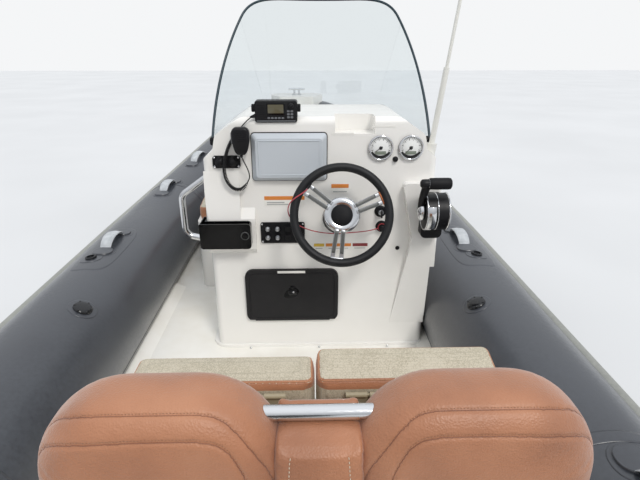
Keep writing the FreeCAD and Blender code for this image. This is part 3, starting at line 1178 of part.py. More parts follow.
def main():
    tubes = all_tubes(0.0)
    cutters = all_tubes(SEAT_GAP)
    hull = make_hull(cutters)
    deck = make_deck(cutters, hull)
    fore_deck = make_fore_deck(cutters, hull)
    strake = rub_strake()
    backs = [make_back(-1), make_back(1)]
    nodes = {
        "hull": hull,
        "deck": deck,
        "transom": make_transom(cutters),
        "tube_port": tubes[0],
        "tube_starboard": tubes[1],
        "tube_bow": tubes[2],
        "rub_strake": strake,
        "tube_handles": make_handles(cutters),
        "tube_valves": make_valves(),
        "bow_locker": make_locker(),
        "bow_cushion": make_bow_cushion(),
        "fore_deck": fore_deck,
        "bow_step": make_bow_step(cutters + [hull, fore_deck, strake]),
        "bow_cleat": make_bow_cleat(),
        "bow_eye": make_bow_eye(hull),
        "stern_eyes": make_stern_eyes(),
        "console": make_console(deck, [side_tube(1, TUBE_CLEAR)]),
        "hatch_door": make_door(),
        "windshield": make_shield(),
        "antenna": make_antenna(),
        "plotter_cover": make_plotter(),
        "gauges": make_gauges(),
        "vhf_radio": make_radio(),
        "radio_mic": make_mic(),
        "radio_lead": cord_tube(RADIO_LEAD, LEAD_R).cut(make_radio()),
        "mic_coil": cord_tube(COIL_ROUTE, COIL_R),
        "mic_lead": cord_tube(MIC_LEAD, LEAD_R).cut(make_mic()),
        "kill_lanyard": cord_tube(LANYARD, LANYARD_R).cut(make_lanyard_hook()),
        "lanyard_hook": make_lanyard_hook(),
        "socket_plate": make_sockets(),
        "switch_panel": make_switches(),
        "key_switches": make_keys(),
        "side_pocket": make_pocket(),
        "grab_rail": make_rail(),
        "helm_boss": make_helm(),
        "steering_wheel": make_wheel(),
        "throttle_housing": make_throttle(),
        "throttle_lever": make_lever(),
        "seat_base": make_seat_base(),
        "seat_cushion": make_seat_cushion(),
        "seat_back_port": backs[0],
        "seat_back_starboard": backs[1],
        "seat_centre": make_seat_centre(),
        "seat_bar": make_seat_bar(backs),
        "seat_hinges": make_seat_hinges(),
        "bolster_port": make_bolster("port"),
        "bolster_starboard": make_bolster("starboard"),
        "bolster_leaf_port": make_bolster_leaf("port"),
        "bolster_leaf_starboard": make_bolster_leaf("starboard"),
        "engine_clamp": make_clamp(),
        "engine_swivel": make_swivel(),
        "engine_leg": make_leg(),
        "engine_cowl": make_cowl(),
        "engine_block": make_engine(),
        "propeller": make_propeller(),
    }
    for name, shape in nodes.items():
        if not shape.isValid():
            print("invalid", name)
        shape.exportStep("parts/" + name + ".step")
        print(name, len(shape.Solids), round(shape.Volume / 1e6, 3), [round(v) for v in (
            shape.BoundBox.XMin, shape.BoundBox.XMax, shape.BoundBox.YMin, shape.BoundBox.YMax,
            shape.BoundBox.ZMin, shape.BoundBox.ZMax)])


main()
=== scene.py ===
"""Rigid inflatable boat: finishes, cords, upholstery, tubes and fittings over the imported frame.

Metres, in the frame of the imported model: X to starboard, Y to the bow, Z up, waterline at z = 0.
"""
import math

import bmesh
import bpy
import numpy as np
from mathutils.bvhtree import BVHTree
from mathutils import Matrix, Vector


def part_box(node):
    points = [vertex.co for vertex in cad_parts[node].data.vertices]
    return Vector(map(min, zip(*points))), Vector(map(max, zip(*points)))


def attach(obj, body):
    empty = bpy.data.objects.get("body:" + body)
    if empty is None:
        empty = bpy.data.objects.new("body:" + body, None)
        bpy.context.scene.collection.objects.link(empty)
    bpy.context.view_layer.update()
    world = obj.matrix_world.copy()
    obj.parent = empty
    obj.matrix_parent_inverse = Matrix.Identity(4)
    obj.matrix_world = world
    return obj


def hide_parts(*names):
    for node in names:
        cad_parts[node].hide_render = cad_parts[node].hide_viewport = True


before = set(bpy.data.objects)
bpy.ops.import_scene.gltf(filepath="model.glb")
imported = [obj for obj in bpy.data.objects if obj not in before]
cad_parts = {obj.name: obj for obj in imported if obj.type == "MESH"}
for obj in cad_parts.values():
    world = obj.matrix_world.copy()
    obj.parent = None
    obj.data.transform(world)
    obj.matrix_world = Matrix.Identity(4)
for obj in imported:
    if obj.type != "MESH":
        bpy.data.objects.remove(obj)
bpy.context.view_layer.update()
scene = bpy.context.scene
MM = 0.001


# Camera of the photograph: behind the helm seat, looking forward and down

camera = bpy.data.objects.new("camera", bpy.data.cameras.new("camera"))
camera.data.lens = 27.0
camera.data.sensor_width = 36.0
camera.data.clip_start = 0.05
camera.location = (0.102, -1.766, 1.360)
camera.rotation_euler = (math.radians(68.1), 0.0, math.radians(-1.43))
scene.collection.objects.link(camera)
scene.camera = camera
scene.view_settings.view_transform = "Standard"


# Node helpers

def srgb(code):
    """Linear colour of an sRGB hex code, with full opacity."""
    values = np.array([int(code[i:i + 2], 16) for i in (1, 3, 5)]) / 255.0
    linear = np.where(values <= 0.04045, values / 12.92, ((values + 0.055) / 1.055) ** 2.4)
    return (*linear.tolist(), 1.0)


def add(tree, kind, inputs=None, **settings):
    """Adds one shader node; inputs gives each socket a value or another node's output."""
    node = tree.nodes.new("ShaderNode" + kind)
    for name, value in settings.items():
        setattr(node, name, value)
    for name, value in (inputs or {}).items():
        if isinstance(value, bpy.types.NodeSocket):
            tree.links.new(value, node.inputs[name])
        else:
            node.inputs[name].default_value = value
    return node


def start(name, colour, roughness, **sockets):
    """New material: (material, node tree, shader, Object coordinates), with the shader's own sockets set."""
    material = bpy.data.materials.new(name)
    material.use_nodes = True
    tree = material.node_tree
    shader = tree.nodes["Principled BSDF"]
    shader.inputs["Base Color"].default_value = srgb(colour)
    shader.inputs["Roughness"].default_value = roughness
    for socket, value in sockets.items():
        shader.inputs[socket.replace("_", " ")].default_value = value
    return material, tree, shader, add(tree, "TexCoord").outputs["Object"]


def ramp(tree, factor, stops):
    """Colour along a ramp of (place, hex) stops."""
    node = add(tree, "ValToRGB", {"Fac": factor})
    points = node.color_ramp.elements
    while len(points) < len(stops):
        points.new(0.5)
    for point, (place, code) in zip(points, stops):
        point.position = place
        point.color = srgb(code)
    return node.outputs["Color"]


def spread(tree, value, low, high, new_low, new_high):
    """Moves a value's range, clamped."""
    return add(tree, "MapRange", {"Value": value, "From Min": low, "From Max": high,
                                  "To Min": new_low, "To Max": new_high}).outputs["Result"]


def cloud(tree, where, size, detail=3.0):
    """Soft noise whose patches are about size metres across."""
    return add(tree, "TexNoise", {"Vector": where, "Scale": 1.0 / size, "Detail": detail}).outputs["Fac"]


def relief(tree, shader, layers):
    """Bump of (height, depth in metres) layers, chained, into the shader's normal."""
    normal = None
    for height, depth in layers:
        inputs = {"Height": height, "Distance": depth, "Strength": 1.0}
        if normal is not None:
            inputs["Normal"] = normal
        normal = add(tree, "Bump", inputs).outputs["Normal"]
    tree.links.new(normal, shader.inputs["Normal"])


def cells(tree, where, size, randomness=1.0, distance="EUCLIDEAN"):
    """Voronoi cells about size metres across: their distance output and colour output."""
    return add(tree, "TexVoronoi", {"Vector": where, "Scale": 1.0 / size, "Randomness": randomness},
               distance=distance).outputs


def link(tree, out, shader, socket):
    """Joins an output to one of the shader's sockets."""
    tree.links.new(out, shader.inputs[socket])


# Materials, each named for the real stuff

def gelcoat(name, colour, dark, rough=0.2):
    """Gelcoat off a polished mould: faint orange peel, and dull patches where salt has dried."""
    material, tree, shader, place = start(name, colour, rough, IOR=1.5, Coat_Weight=0.3, Coat_Roughness=0.08)
    link(tree, ramp(tree, cloud(tree, place, 0.35, 4.0), ((0.35, dark), (0.7, colour))), shader, "Base Color")
    link(tree, spread(tree, cloud(tree, place, 0.12, 2.0), 0.3, 0.8, rough, rough + 0.08), shader, "Roughness")
    relief(tree, shader, ((cloud(tree, place, 0.05, 1.0), 0.00008),))
    return material


def moulded(name, colour, rough, grain=0.0009, depth=0.00012, lift=0.12, spec=0.5):
    """Moulded plastic (ABS, nylon): a fine spark-eroded grain, edges rubbed a little glossier in patches."""
    material, tree, shader, place = start(name, colour, rough, IOR=1.52, Specular_IOR_Level=spec)
    link(tree, spread(tree, cloud(tree, place, 0.04, 4.0), 0.3, 0.75, rough - lift / 2, rough + lift), shader,
         "Roughness")
    relief(tree, shader, ((cloud(tree, place, grain, 2.0), depth),))
    return material


def bright_steel(name, colour, rough, scratch=0.0007):
    """Polished stainless steel: mirror with hairline polishing marks and dulled patches."""
    material, tree, shader, place = start(name, colour, rough, Metallic=1.0)
    hair = add(tree, "Mapping", {"Vector": place, "Scale": (1.0, 14.0, 14.0)}).outputs["Vector"]
    link(tree, spread(tree, cloud(tree, hair, 0.01, 4.0), 0.35, 0.75, rough, rough + 0.14), shader, "Roughness")
    relief(tree, shader, ((cloud(tree, hair, scratch * 12, 3.0), 0.00002),))
    return material


def nonskid(name):
    """Gelcoat sole with moulded non-skid pips 3 mm apart, trodden to a warmer grey between them."""
    material, tree, shader, place = start(name, "#F6F3EC", 0.5, IOR=1.5)
    pip = cells(tree, place, 0.0032, 0.15)["Distance"]
    link(tree, ramp(tree, cloud(tree, place, 0.22, 6.0), ((0.3, "#EDE9DF"), (0.62, "#F7F5EF"))), shader, "Base Color")
    relief(tree, shader, ((pip, 0.0004), (cloud(tree, place, 0.02, 3.0), 0.0002)))
    return material


def coated_fabric(name, colour, light, rough=0.5):
    """Hypalon-coated polyester: its weave, drawn at 1.7 mm, shows through under chalky scuffs and dust."""
    material, tree, shader, place = start(name, colour, rough, IOR=1.5, Coat_Weight=0.75, Coat_Roughness=0.32)
    thread = cells(tree, place, 0.0017, 0.0, distance="CHEBYCHEV")["Distance"]
    dust = add(tree, "Math", {0: cloud(tree, place, 0.28, 6.0), 1: cloud(tree, place, 0.012, 6.0)},
               operation="MULTIPLY").outputs[0]
    link(tree, ramp(tree, dust, ((0.14, colour), (0.5, light))), shader, "Base Color")
    link(tree, spread(tree, dust, 0.15, 0.4, rough - 0.1, rough + 0.12), shader, "Roughness")
    relief(tree, shader, ((thread, 0.00012), (cloud(tree, place, 0.06, 3.0), 0.0008)))
    return material


def vinyl(name, colour, dark, light):
    """Expanded-vinyl upholstery: pebble grain, drawn at 3 mm, and soft tone changes where it is sat on."""
    material, tree, shader, place = start(name, colour, 0.45, IOR=1.5, Coat_Weight=0.2, Coat_Roughness=0.4,
                                          Sheen_Weight=0.3)
    pebble = cells(tree, place, 0.0030)["Distance"]
    link(tree, ramp(tree, cloud(tree, place, 0.16, 5.0), ((0.3, dark), (0.5, colour), (0.72, light))), shader,
         "Base Color")
    link(tree, spread(tree, cloud(tree, place, 0.05, 4.0), 0.3, 0.7, 0.42, 0.54), shader, "Roughness")
    relief(tree, shader, ((pebble, 0.0006), (cloud(tree, place, 0.006, 3.0), 0.0004),
                          (cloud(tree, place, 0.05, 3.0), 0.0008)))
    return material


def basket_weave(name, colour, dark, light, cell=0.0020):
    """Woven marine vinyl: square basket weave with 2 mm cells, every thread a slightly different beige."""
    material, tree, shader, place = start(name, colour, 0.55, IOR=1.5)
    grid = cells(tree, place, cell, 0.0, distance="CHEBYCHEV")
    tint = add(tree, "RGBToBW", {"Color": grid["Color"]}).outputs["Val"]
    tone = add(tree, "Math", {0: tint, 1: cloud(tree, place, 0.05, 3.0)}, operation="ADD").outputs[0]
    fine = ramp(tree, tone, ((0.6, dark), (0.95, colour), (1.3, light)))
    edge = spread(tree, grid["Distance"], 0.30, 0.5, 1.0, 0.8)
    link(tree, add(tree, "Mix", {"Factor": 1.0, "A": fine, "B": edge}, data_type="RGBA",
                   blend_type="MULTIPLY").outputs["Result"], shader, "Base Color")
    relief(tree, shader, ((spread(tree, grid["Distance"], 0.0, 0.5, 1.0, 0.0), 0.00025),
                          (cloud(tree, place, 0.03, 3.0), 0.0006)))
    return material


def webbing(name, colour, dark, cell=0.0016):
    """Woven polyester strap: ribs of yarn 1.6 mm apart, slightly furry and grey with use."""
    material, tree, shader, place = start(name, colour, 0.75, Sheen_Weight=0.25)
    grid = cells(tree, place, cell, 0.1, distance="CHEBYCHEV")["Distance"]
    link(tree, ramp(tree, cloud(tree, place, 0.03, 5.0), ((0.3, dark), (0.65, colour))), shader, "Base Color")
    relief(tree, shader, ((spread(tree, grid, 0.0, 0.5, 1.0, 0.0), 0.0005),))
    return material


def clear_sheet(name):
    """Cast acrylic, faintly blue-grey, with dried water spots that scatter a little."""
    material, tree, shader, place = start(name, "#EEF3F4", 0.02, IOR=1.49, Transmission_Weight=1.0)
    spots = cells(tree, place, 0.011)["Distance"]
    rare = cloud(tree, place, 0.12, 4.0)
    mark = add(tree, "Math", {0: spread(tree, spots, 0.10, 0.2, 1.0, 0.0), 1: spread(tree, rare, 0.5, 0.65, 0.0, 1.0)},
               operation="MULTIPLY").outputs[0]
    link(tree, spread(tree, mark, 0.0, 1.0, 0.02, 0.22), shader, "Roughness")
    return material


GELCOAT = gelcoat("polished_white_gelcoat", "#F3F1ED", "#EDEBE6")
HULL_COAT = gelcoat("hull_white_gelcoat", "#EFEDE9", "#E2E0DA", 0.18)
SOLE = nonskid("non_skid_gelcoat_sole")
SKIN = coated_fabric("charcoal_hypalon_fabric", "#2E3138", "#43474E", 0.42)
# Black tape of the end seams; the same dark material also paints the shadow along the tube's joint with the deck.
BLACK_TAPE_AND_SHADE = coated_fabric("black_hypalon_tape_and_painted_joint_shade", "#222327", "#38393D", 0.45)
STRAKE = coated_fabric("grey_moulded_strake_rubber", "#8B8C86", "#A3A49D", 0.6)
STRAP = webbing("grey_polyester_webbing", "#C9CDD0", "#AEB3B7")
VALVE = moulded("black_acetal_valve", "#121316", 0.35, spec=0.35)
TAN = vinyl("tan_upholstery_vinyl", "#AC7351", "#9A6546", "#B8805E")
WEAVE = basket_weave("beige_woven_vinyl", "#C0B7A1", "#B1A893", "#CDC4B0")
STEEL = bright_steel("polished_stainless_steel", "#D9DADC", 0.1)
STEEL_SATIN = bright_steel("satin_stainless_steel", "#B9BBBE", 0.28)
ACRYLIC = clear_sheet("cast_acrylic_sheet")
HATCH = moulded("charcoal_textured_abs", "#232223", 0.6, 0.0016, 0.0003, 0.1, 0.25)
BLACK = moulded("black_moulded_abs", "#0E0E11", 0.42, spec=0.3)
BLACK_SOFT = moulded("black_matte_nylon", "#121215", 0.6, spec=0.25)
BLACK_GLOSS = moulded("black_gloss_acrylic_cap", "#050507", 0.14, 0.02, 0.0001, 0.05, 0.25)
COVER = moulded("light_grey_moulded_cover", "#C0C6CC", 0.5, 0.0012, 0.0002)
DIAL = moulded("white_printed_dial", "#EDEEEC", 0.35, 0.02, 0.00002, 0.02)
FOAM = moulded("skinned_polyurethane_foam", "#121316", 0.5, 0.0012, 0.0003, 0.1, 0.35)
SPOKE = moulded("grey_cast_spoke_enamel", "#565856", 0.35, 0.004, 0.0001)
WHIP = gelcoat("white_fibreglass_whip", "#EEEDE8", "#DEDDD6", 0.3)
LEAD = moulded("black_pvc_lead", "#0E0E10", 0.45, 0.004, 0.00008, 0.1, 0.35)
COPPER = bright_steel("copper_plated_brass", "#C07A55", 0.22)
ENGINE_COAT = gelcoat("dark_metallic_engine_paint", "#34373B", "#2B2E32", 0.22)
CASTING = moulded("painted_aluminium_casting", "#3A3D41", 0.4, 0.005, 0.0003)
ALLOY = bright_steel("bare_aluminium_alloy", "#A9ACAE", 0.35)
BEIGE_PAINT = moulded("beige_powder_coated_steel", "#A2987F", 0.5, 0.002, 0.0001)
CAP_GLOSS = moulded("glossy_black_acetal_cap", "#101114", 0.16, 0.01, 0.0001, 0.06)
CORD_RED = webbing("red_braided_polyester", "#BE4450", "#9C3440", 0.0012)

NODE_FINISH = {"hull": HULL_COAT, "deck": SOLE, "transom": HULL_COAT, "tube_port": SKIN, "tube_starboard": SKIN,
               "tube_bow": SKIN, "rub_strake": STRAKE, "tube_handles": STRAP, "tube_valves": VALVE,
               "bow_locker": GELCOAT, "bow_cushion": WEAVE, "fore_deck": SOLE, "bow_step": GELCOAT,
               "bow_cleat": STEEL, "bow_eye": STEEL, "stern_eyes": STEEL, "console": GELCOAT,
               "hatch_door": HATCH, "windshield": ACRYLIC, "antenna": WHIP, "plotter_cover": COVER,
               "gauges": DIAL, "vhf_radio": BLACK, "radio_mic": BLACK, "socket_plate": BLACK_SOFT,
               "switch_panel": BLACK_SOFT, "key_switches": BLACK, "side_pocket": BLACK_GLOSS,
               "grab_rail": STEEL, "helm_boss": BLACK, "steering_wheel": FOAM, "throttle_housing": BLACK,
               "throttle_lever": BLACK, "seat_base": GELCOAT, "seat_cushion": WEAVE, "seat_back_port": TAN,
               "seat_back_starboard": TAN, "seat_centre": TAN, "seat_bar": STEEL, "seat_hinges": BEIGE_PAINT,
               "bolster_port": WEAVE, "bolster_starboard": WEAVE, "bolster_leaf_port": BEIGE_PAINT,
               "bolster_leaf_starboard": BEIGE_PAINT, "engine_clamp": CASTING, "engine_swivel": CASTING,
               "engine_leg": CASTING, "engine_cowl": ENGINE_COAT, "engine_block": CASTING, "propeller": ALLOY,
               "radio_lead": LEAD, "mic_coil": LEAD, "mic_lead": LEAD, "kill_lanyard": CORD_RED,
               "lanyard_hook": BLACK,}
for name, material in NODE_FINISH.items():
    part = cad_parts[name]
    part.data.materials.clear()
    part.data.materials.append(material)


# Surfaces: a grid of points worked out as whole arrays, then one mesh

def quads(rows, cols, wrap_rows=False, wrap_cols=False):
    """Four-sided faces of a grid whose points run row by row; a wrapped side closes on itself."""
    i, j = np.meshgrid(np.arange(rows if wrap_rows else rows - 1), np.arange(cols if wrap_cols else cols - 1),
                       indexing="ij")
    i, j = i.ravel(), j.ravel()
    i_next, j_next = (i + 1) % rows, (j + 1) % cols
    return np.stack([i * cols + j, i * cols + j_next, i_next * cols + j_next, i_next * cols + j], axis=1).tolist()


def put(name, points, faces, material, body="boat", smooth=True, closed=True):
    """Mesh object of points in metres, its doubles merged and faces turned outwards, riding on a body."""
    mesh = bpy.data.meshes.new(name)
    mesh.from_pydata(np.asarray(points, float).reshape(-1, 3).tolist(), [], faces)
    shell = bmesh.new()
    shell.from_mesh(mesh)
    bmesh.ops.remove_doubles(shell, verts=shell.verts, dist=2e-6)
    if closed:
        bmesh.ops.recalc_face_normals(shell, faces=shell.faces)
    shell.to_mesh(mesh)
    shell.free()
    mesh.polygons.foreach_set("use_smooth", [smooth] * len(mesh.polygons))
    mesh.materials.append(material)
    piece = bpy.data.objects.new(name, mesh)
    scene.collection.objects.link(piece)
    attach(piece, body)
    return piece


def crisp(piece, degrees=35.0):
    """Keeps edges sharper than an angle crisp on a smooth piece."""
    piece.data.set_sharp_from_angle(angle=math.radians(degrees))
    return piece


def unit(vectors):
    """Vectors scaled to length one."""
    vectors = np.asarray(vectors, float)
    return vectors / np.linalg.norm(vectors, axis=-1, keepdims=True)


def circle(radius, count=20):
    """Closed outline of a circle."""
    angle = np.linspace(0, 2 * np.pi, count, endpoint=False)
    return radius * np.stack([np.cos(angle), np.sin(angle)], axis=1)


def rounded(width, height, radii, count=7, straight=0):
    """Closed outline of a rectangle about the origin, one radius or four from its upper right corner anticlockwise."""
    radii = np.clip(np.broadcast_to(np.asarray(radii, float), 4), 1e-5, min(width, height) / 2)
    signs = np.array([(1, 1), (-1, 1), (-1, -1), (1, -1)])
    middle = signs * (np.array([width, height]) / 2 - radii[:, None])
    turn = np.linspace(0, 0.5 * np.pi, count) + np.arange(4)[:, None] * 0.5 * np.pi
    arcs = middle[:, None] + radii[:, None, None] * np.stack([np.cos(turn), np.sin(turn)], axis=2)
    share = np.linspace(0, 1, straight + 2)[1:-1, None]
    runs = arcs[:, -1:] * (1 - share) + np.roll(arcs, -1, axis=0)[:, :1] * share
    return np.concatenate([arcs, runs], axis=1).reshape(-1, 2)


def along(path, outline, up, closed=False, growth=None):
    """Grid of an outline carried along a path: path + side times across + lift times height at each point."""
    path = np.asarray(path, float)
    if closed:
        ahead = np.roll(path, -1, axis=0) - np.roll(path, 1, axis=0)
    else:
        ahead = np.gradient(path, axis=0)
    ahead = unit(ahead)
    side = unit(np.cross(ahead, np.asarray(up, float)))
    lift = np.cross(side, ahead)
    size = np.ones(len(path)) if growth is None else np.asarray(growth, float)
    outline = np.asarray(outline, float)
    return (path[:, None] + side[:, None] * outline[None, :, :1] * size[:, None, None]
            + lift[:, None] * outline[None, :, 1:] * size[:, None, None])


def carried(name, path, outline, up, material, body="boat", closed=False, growth=None, smooth=True):
    """Solid bar or tape of an outline along a path, capped flat at both ends unless it closes on itself."""
    grid = along(path, outline, up, closed, growth)
    rows, cols = grid.shape[:2]
    faces = quads(rows, cols, closed, True)
    if not closed:
        faces += [list(range(cols)), list(range((rows - 1) * cols, rows * cols))]
    return put(name, grid, faces, material, body, smooth)


def turned(name, profile, centre, axis, material, body="boat", count=48, smooth=True):
    """Piece turned on a lathe: each profile point (radius, height) swept round the axis from the centre."""
    profile = np.asarray(profile, float)
    axis = unit(axis)
    first = unit(np.cross(axis, (0.0, 0.31, 0.95) if abs(axis[0]) > 0.5 else (1.0, 0.0, 0.0)))
    second = np.cross(axis, first)
    angle = np.linspace(0, 2 * np.pi, count, endpoint=False)
    ring = np.cos(angle)[:, None] * first + np.sin(angle)[:, None] * second
    grid = np.asarray(centre, float) + profile[:, :1, None] * ring + profile[:, 1:, None] * axis
    faces = quads(len(profile), count, False, True)
    if profile[0, 0] > 1e-6:
        faces.append(list(range(count)))
    if profile[-1, 0] > 1e-6:
        faces.append(list(range((len(profile) - 1) * count, len(profile) * count)))
    return put(name, grid, faces, material, body, smooth)


def raised(name, outlines, heights, place, across, upward, material, body="boat", smooth=True):
    """Low moulding: outlines stacked at heights off a face, each (n, 2) across and upward of a place, capped."""
    across, upward = unit(across), unit(upward)
    out = np.cross(across, upward)
    grid = np.stack([np.asarray(place, float) + o[:, :1] * across + o[:, 1:] * upward + h * out
                     for o, h in zip(outlines, heights)])
    rows, cols = grid.shape[:2]
    faces = quads(rows, cols, False, True) + [list(range(cols)), list(range((rows - 1) * cols, rows * cols))]
    return put(name, grid, faces, material, body, smooth)


def plate(name, place, width, height, radius, thick, bevel, material, across=(1, 0, 0), upward=(0, 0, 1),
          body="boat", smooth=True):
    """Flat plate with rounded corners whose front edge is rounded over by a bevel, standing off a face."""
    steps = np.linspace(0, 0.5 * np.pi, 5)
    insets = [0.0, *(bevel * (1 - np.cos(steps)))]
    heights = [0.0, *(thick - bevel + bevel * np.sin(steps))]
    outlines = [rounded(width - 2 * i, height - 2 * i, radius - i) for i in insets]
    return crisp(raised(name, outlines, heights, place, across, upward, material, body, smooth), 50)


# Across and upward of a face that looks aft
AFT = ((1, 0, 0), (0, 0, 1))


# Cords: the microphone's lead with its curly part, and the kill-switch lanyard

def nurbs(name, points, thickness, material, fine=8, sides=4):
    """Round cord on a NURBS line through its control points, in metres."""
    points = np.asarray(points, float)
    curve = bpy.data.curves.new(name, "CURVE")
    curve.dimensions = "3D"
    spline = curve.splines.new("NURBS")
    spline.points.add(len(points) - 1)
    spline.points.foreach_set("co", np.c_[points, np.ones(len(points))].ravel())
    spline.order_u = 3
    spline.use_endpoint_u = True
    curve.resolution_u = fine
    curve.bevel_depth = thickness / 2
    curve.bevel_resolution = sides if thickness else 0
    curve.use_fill_caps = bool(thickness)
    if material:
        curve.materials.append(material)
    cord = bpy.data.objects.new(name, curve)
    scene.collection.objects.link(cord)
    return cord


def line_of(points):
    """Points of the smooth line that a route's NURBS spline draws, evenly spaced by a millimetre."""
    guide = nurbs("guide", points, 0.0, None)
    mesh = bpy.data.meshes.new_from_object(guide)
    found = np.empty(3 * len(mesh.vertices))
    mesh.vertices.foreach_get("co", found)
    found = found.reshape(-1, 3)
    bpy.data.objects.remove(guide)
    bpy.data.meshes.remove(mesh)
    far = np.r_[0, np.cumsum(np.linalg.norm(np.diff(found, axis=0), axis=1))]
    even = np.arange(0, far[-1], MM)
    return np.stack([np.interp(even, far, found[:, k]) for k in range(3)], axis=1)


RADIO_LEAD = MM * np.array((
    (-86.0, -3.0, 1132.0), (-98.0, -10.0, 1129.0), (-111.0, -12.5, 1120.0), (-125.0, -12.5, 1107.0),
    (-140.0, -12.0, 1090.0)))
COIL_ROUTE = MM * np.array((
    (-140.0, -12.0, 1090.0), (-158.0, -12.0, 1069.0), (-176.0, -15.0, 1044.0), (-190.0, -20.5, 1016.0),
    (-200.0, -26.5, 985.0), (-206.0, -29.0, 952.0), (-205.0, -29.0, 920.0), (-195.0, -28.0, 890.0),
    (-175.0, -27.0, 868.0), (-150.0, -26.0, 865.0), (-131.0, -25.0, 880.0), (-120.0, -25.0, 900.0)))
MIC_LEAD = MM * np.array((
    (-120.0, -25.0, 900.0), (-115.0, -25.5, 911.0), (-115.0, -27.0, 925.0), (-119.0, -30.0, 942.0),
    (-126.0, -34.0, 961.0), (-134.0, -38.0, 980.0), (-141.0, -39.0, 1000.0)))
LANYARD = MM * np.array((
    (374.4, -16.0, 703.9), (362.0, -17.0, 700.8), (348.0, -22.0, 698.5), (331.0, -31.0, 698.5),
    (310.0, -43.0, 700.5), (286.0, -56.0, 703.5), (259.0, -69.0, 706.5), (230.0, -82.0, 709.5),
    (200.0, -94.0, 713.5), (170.0, -105.0, 719.0), (140.0, -115.0, 727.0), (110.0, -126.0, 738.5),
    (80.0, -138.5, 755.0), (52.1, -151.4, 777.0), (33.0, -150.1, 801.2), (27.4, -157.0, 832.1),
    (39.3, -164.5, 861.0), (63.4, -165.0, 880.2), (86.0, -157.0, 891.0), (99.2, -149.0, 902.0)))
WIRE = 0.0042
CURL = 0.0052
CURL_PITCH = 0.0052
CURL_STEPS = 14
CURL_RAMP = 0.030


def curled(points):
    """Helix round a route's line: radius CURL, growing from nothing by 3s^2 - 2s^3 over CURL_RAMP at both ends,
    where the winding slows to a third."""
    middle = line_of(points)
    far = np.arange(len(middle)) * MM
    turns = round(far[-1] / CURL_PITCH)
    wound = np.linspace(0, far[-1], turns * CURL_STEPS + 1)
    centre = np.stack([np.interp(wound, far, middle[:, k]) for k in range(3)], axis=1)
    ahead = unit(np.gradient(centre, axis=0))
    side = unit(np.cross(ahead, (0.0, -1.0, 0.0)))
    lift = np.cross(side, ahead)
    share = np.clip(np.minimum(wound, far[-1] - wound) / CURL_RAMP, 0, 1)
    size = CURL * (3 * share ** 2 - 2 * share ** 3)[:, None]
    angle = (np.cumsum(0.3 + 0.7 * share) * 2 * np.pi / CURL_STEPS)[:, None]
    return centre + size * (np.cos(angle) * side + np.sin(angle) * lift)


mic_cord = nurbs("microphone_cord", np.concatenate([RADIO_LEAD[:-1], curled(COIL_ROUTE)[3:-3], MIC_LEAD[1:]]),
                 WIRE, LEAD, 3, 2)
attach(mic_cord, "boat")
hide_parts("radio_lead", "mic_coil", "mic_lead")

lanyard = nurbs("kill_switch_lanyard", LANYARD, 0.004, CORD_RED)
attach(lanyard, "boat")
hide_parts("kill_lanyard")


# Upholstery: a closed form, swollen as cloth round its filling between its seams, then grooved and stitched

def box_outline(width, height, radii):
    """Outline of a rounded rectangle as a function of how far it is drawn in."""
    radii = np.broadcast_to(np.asarray(radii, float), 4)
    return lambda inset: rounded(width - 2 * inset, height - 2 * inset, radii - inset, 10, 14)


def cornered(corners, radii, count=9, straight=12):
    """Closed polygon whose corners are rounded by quadratic bends, its straight sides divided."""
    corners = np.asarray(corners, float)
    before, after = unit(np.roll(corners, 1, axis=0) - corners), unit(np.roll(corners, -1, axis=0) - corners)
    back = np.asarray(radii, float)[:, None] / np.tan(0.5 * np.arccos(np.sum(before * after, axis=1)))[:, None]
    first, last = corners + before * back, corners + after * back
    share = np.linspace(0, 1, count)[None, :, None]
    bends = ((1 - share) ** 2 * first[:, None] + 2 * share * (1 - share) * corners[:, None]
             + share ** 2 * last[:, None])
    run = np.linspace(0, 1, straight + 2)[None, 1:-1, None]
    sides = last[:, None] * (1 - run) + np.roll(first, -1, axis=0)[:, None] * run
    return np.concatenate([bends, sides], axis=1).reshape(-1, 2)


def pillow(name, shape, reach, thick, edge, crown, place, across, upward, material, body="boat", back=None):
    """Closed pad: rings of its outline drawn in by an inset, raised round its edge by a quarter circle and crowned.

    Height over the middle plane is thick/2 - edge + edge sin(t) with inset edge (1 - cos t), and then grows by
    crown times (1 - (1 - s)^2) as the rings close in by the share s of the reach; the other side mirrors it."""
    turn = np.linspace(0, 0.5 * np.pi, 11)
    share = np.linspace(0, 1, 18)[1:]
    insets = np.r_[edge * (1 - np.cos(turn)), edge + share * (reach - edge)]
    rise = np.r_[thick / 2 - edge + edge * np.sin(turn), thick / 2 + crown * (1 - (1 - share) ** 2)]
    low_edge = edge if back is None else back
    low_insets = np.r_[low_edge * (1 - np.cos(turn)), low_edge + share * (reach - low_edge)]
    low_rise = np.r_[thick / 2 - low_edge + low_edge * np.sin(turn), np.full(len(share), thick / 2)]
    insets = np.r_[low_insets[::-1], insets]
    heights = np.r_[-low_rise[::-1], rise]
    across, upward = unit(across), unit(upward)
    out = np.cross(across, upward)
    grid = np.stack([np.asarray(place, float) + o[:, :1] * across + o[:, 1:] * upward + h * out
                     for o, h in ((shape(i), h) for i, h in zip(insets, heights))])
    return put(name, grid, quads(*grid.shape[:2], False, True), material, body)


def points_of(mesh):
    """A mesh's points, as an (n, 3) array."""
    found = np.empty(3 * len(mesh.vertices), np.float64)
    mesh.vertices.foreach_get("co", found)
    return found.reshape(-1, 3)


def settled(piece):
    """Applies a piece's modifiers to its mesh."""
    mesh = bpy.data.meshes.new_from_object(piece.evaluated_get(bpy.context.evaluated_depsgraph_get()))
    piece.modifiers.clear()
    piece.data = mesh
    return points_of(mesh)


def nearness(points, line):
    """Distance of each point to the nearest of a line's points."""
    return np.concatenate([np.linalg.norm(block[:, None] - line[None], axis=2).min(axis=1)
                           for block in np.array_split(points, max(1, len(points) // 2000))])


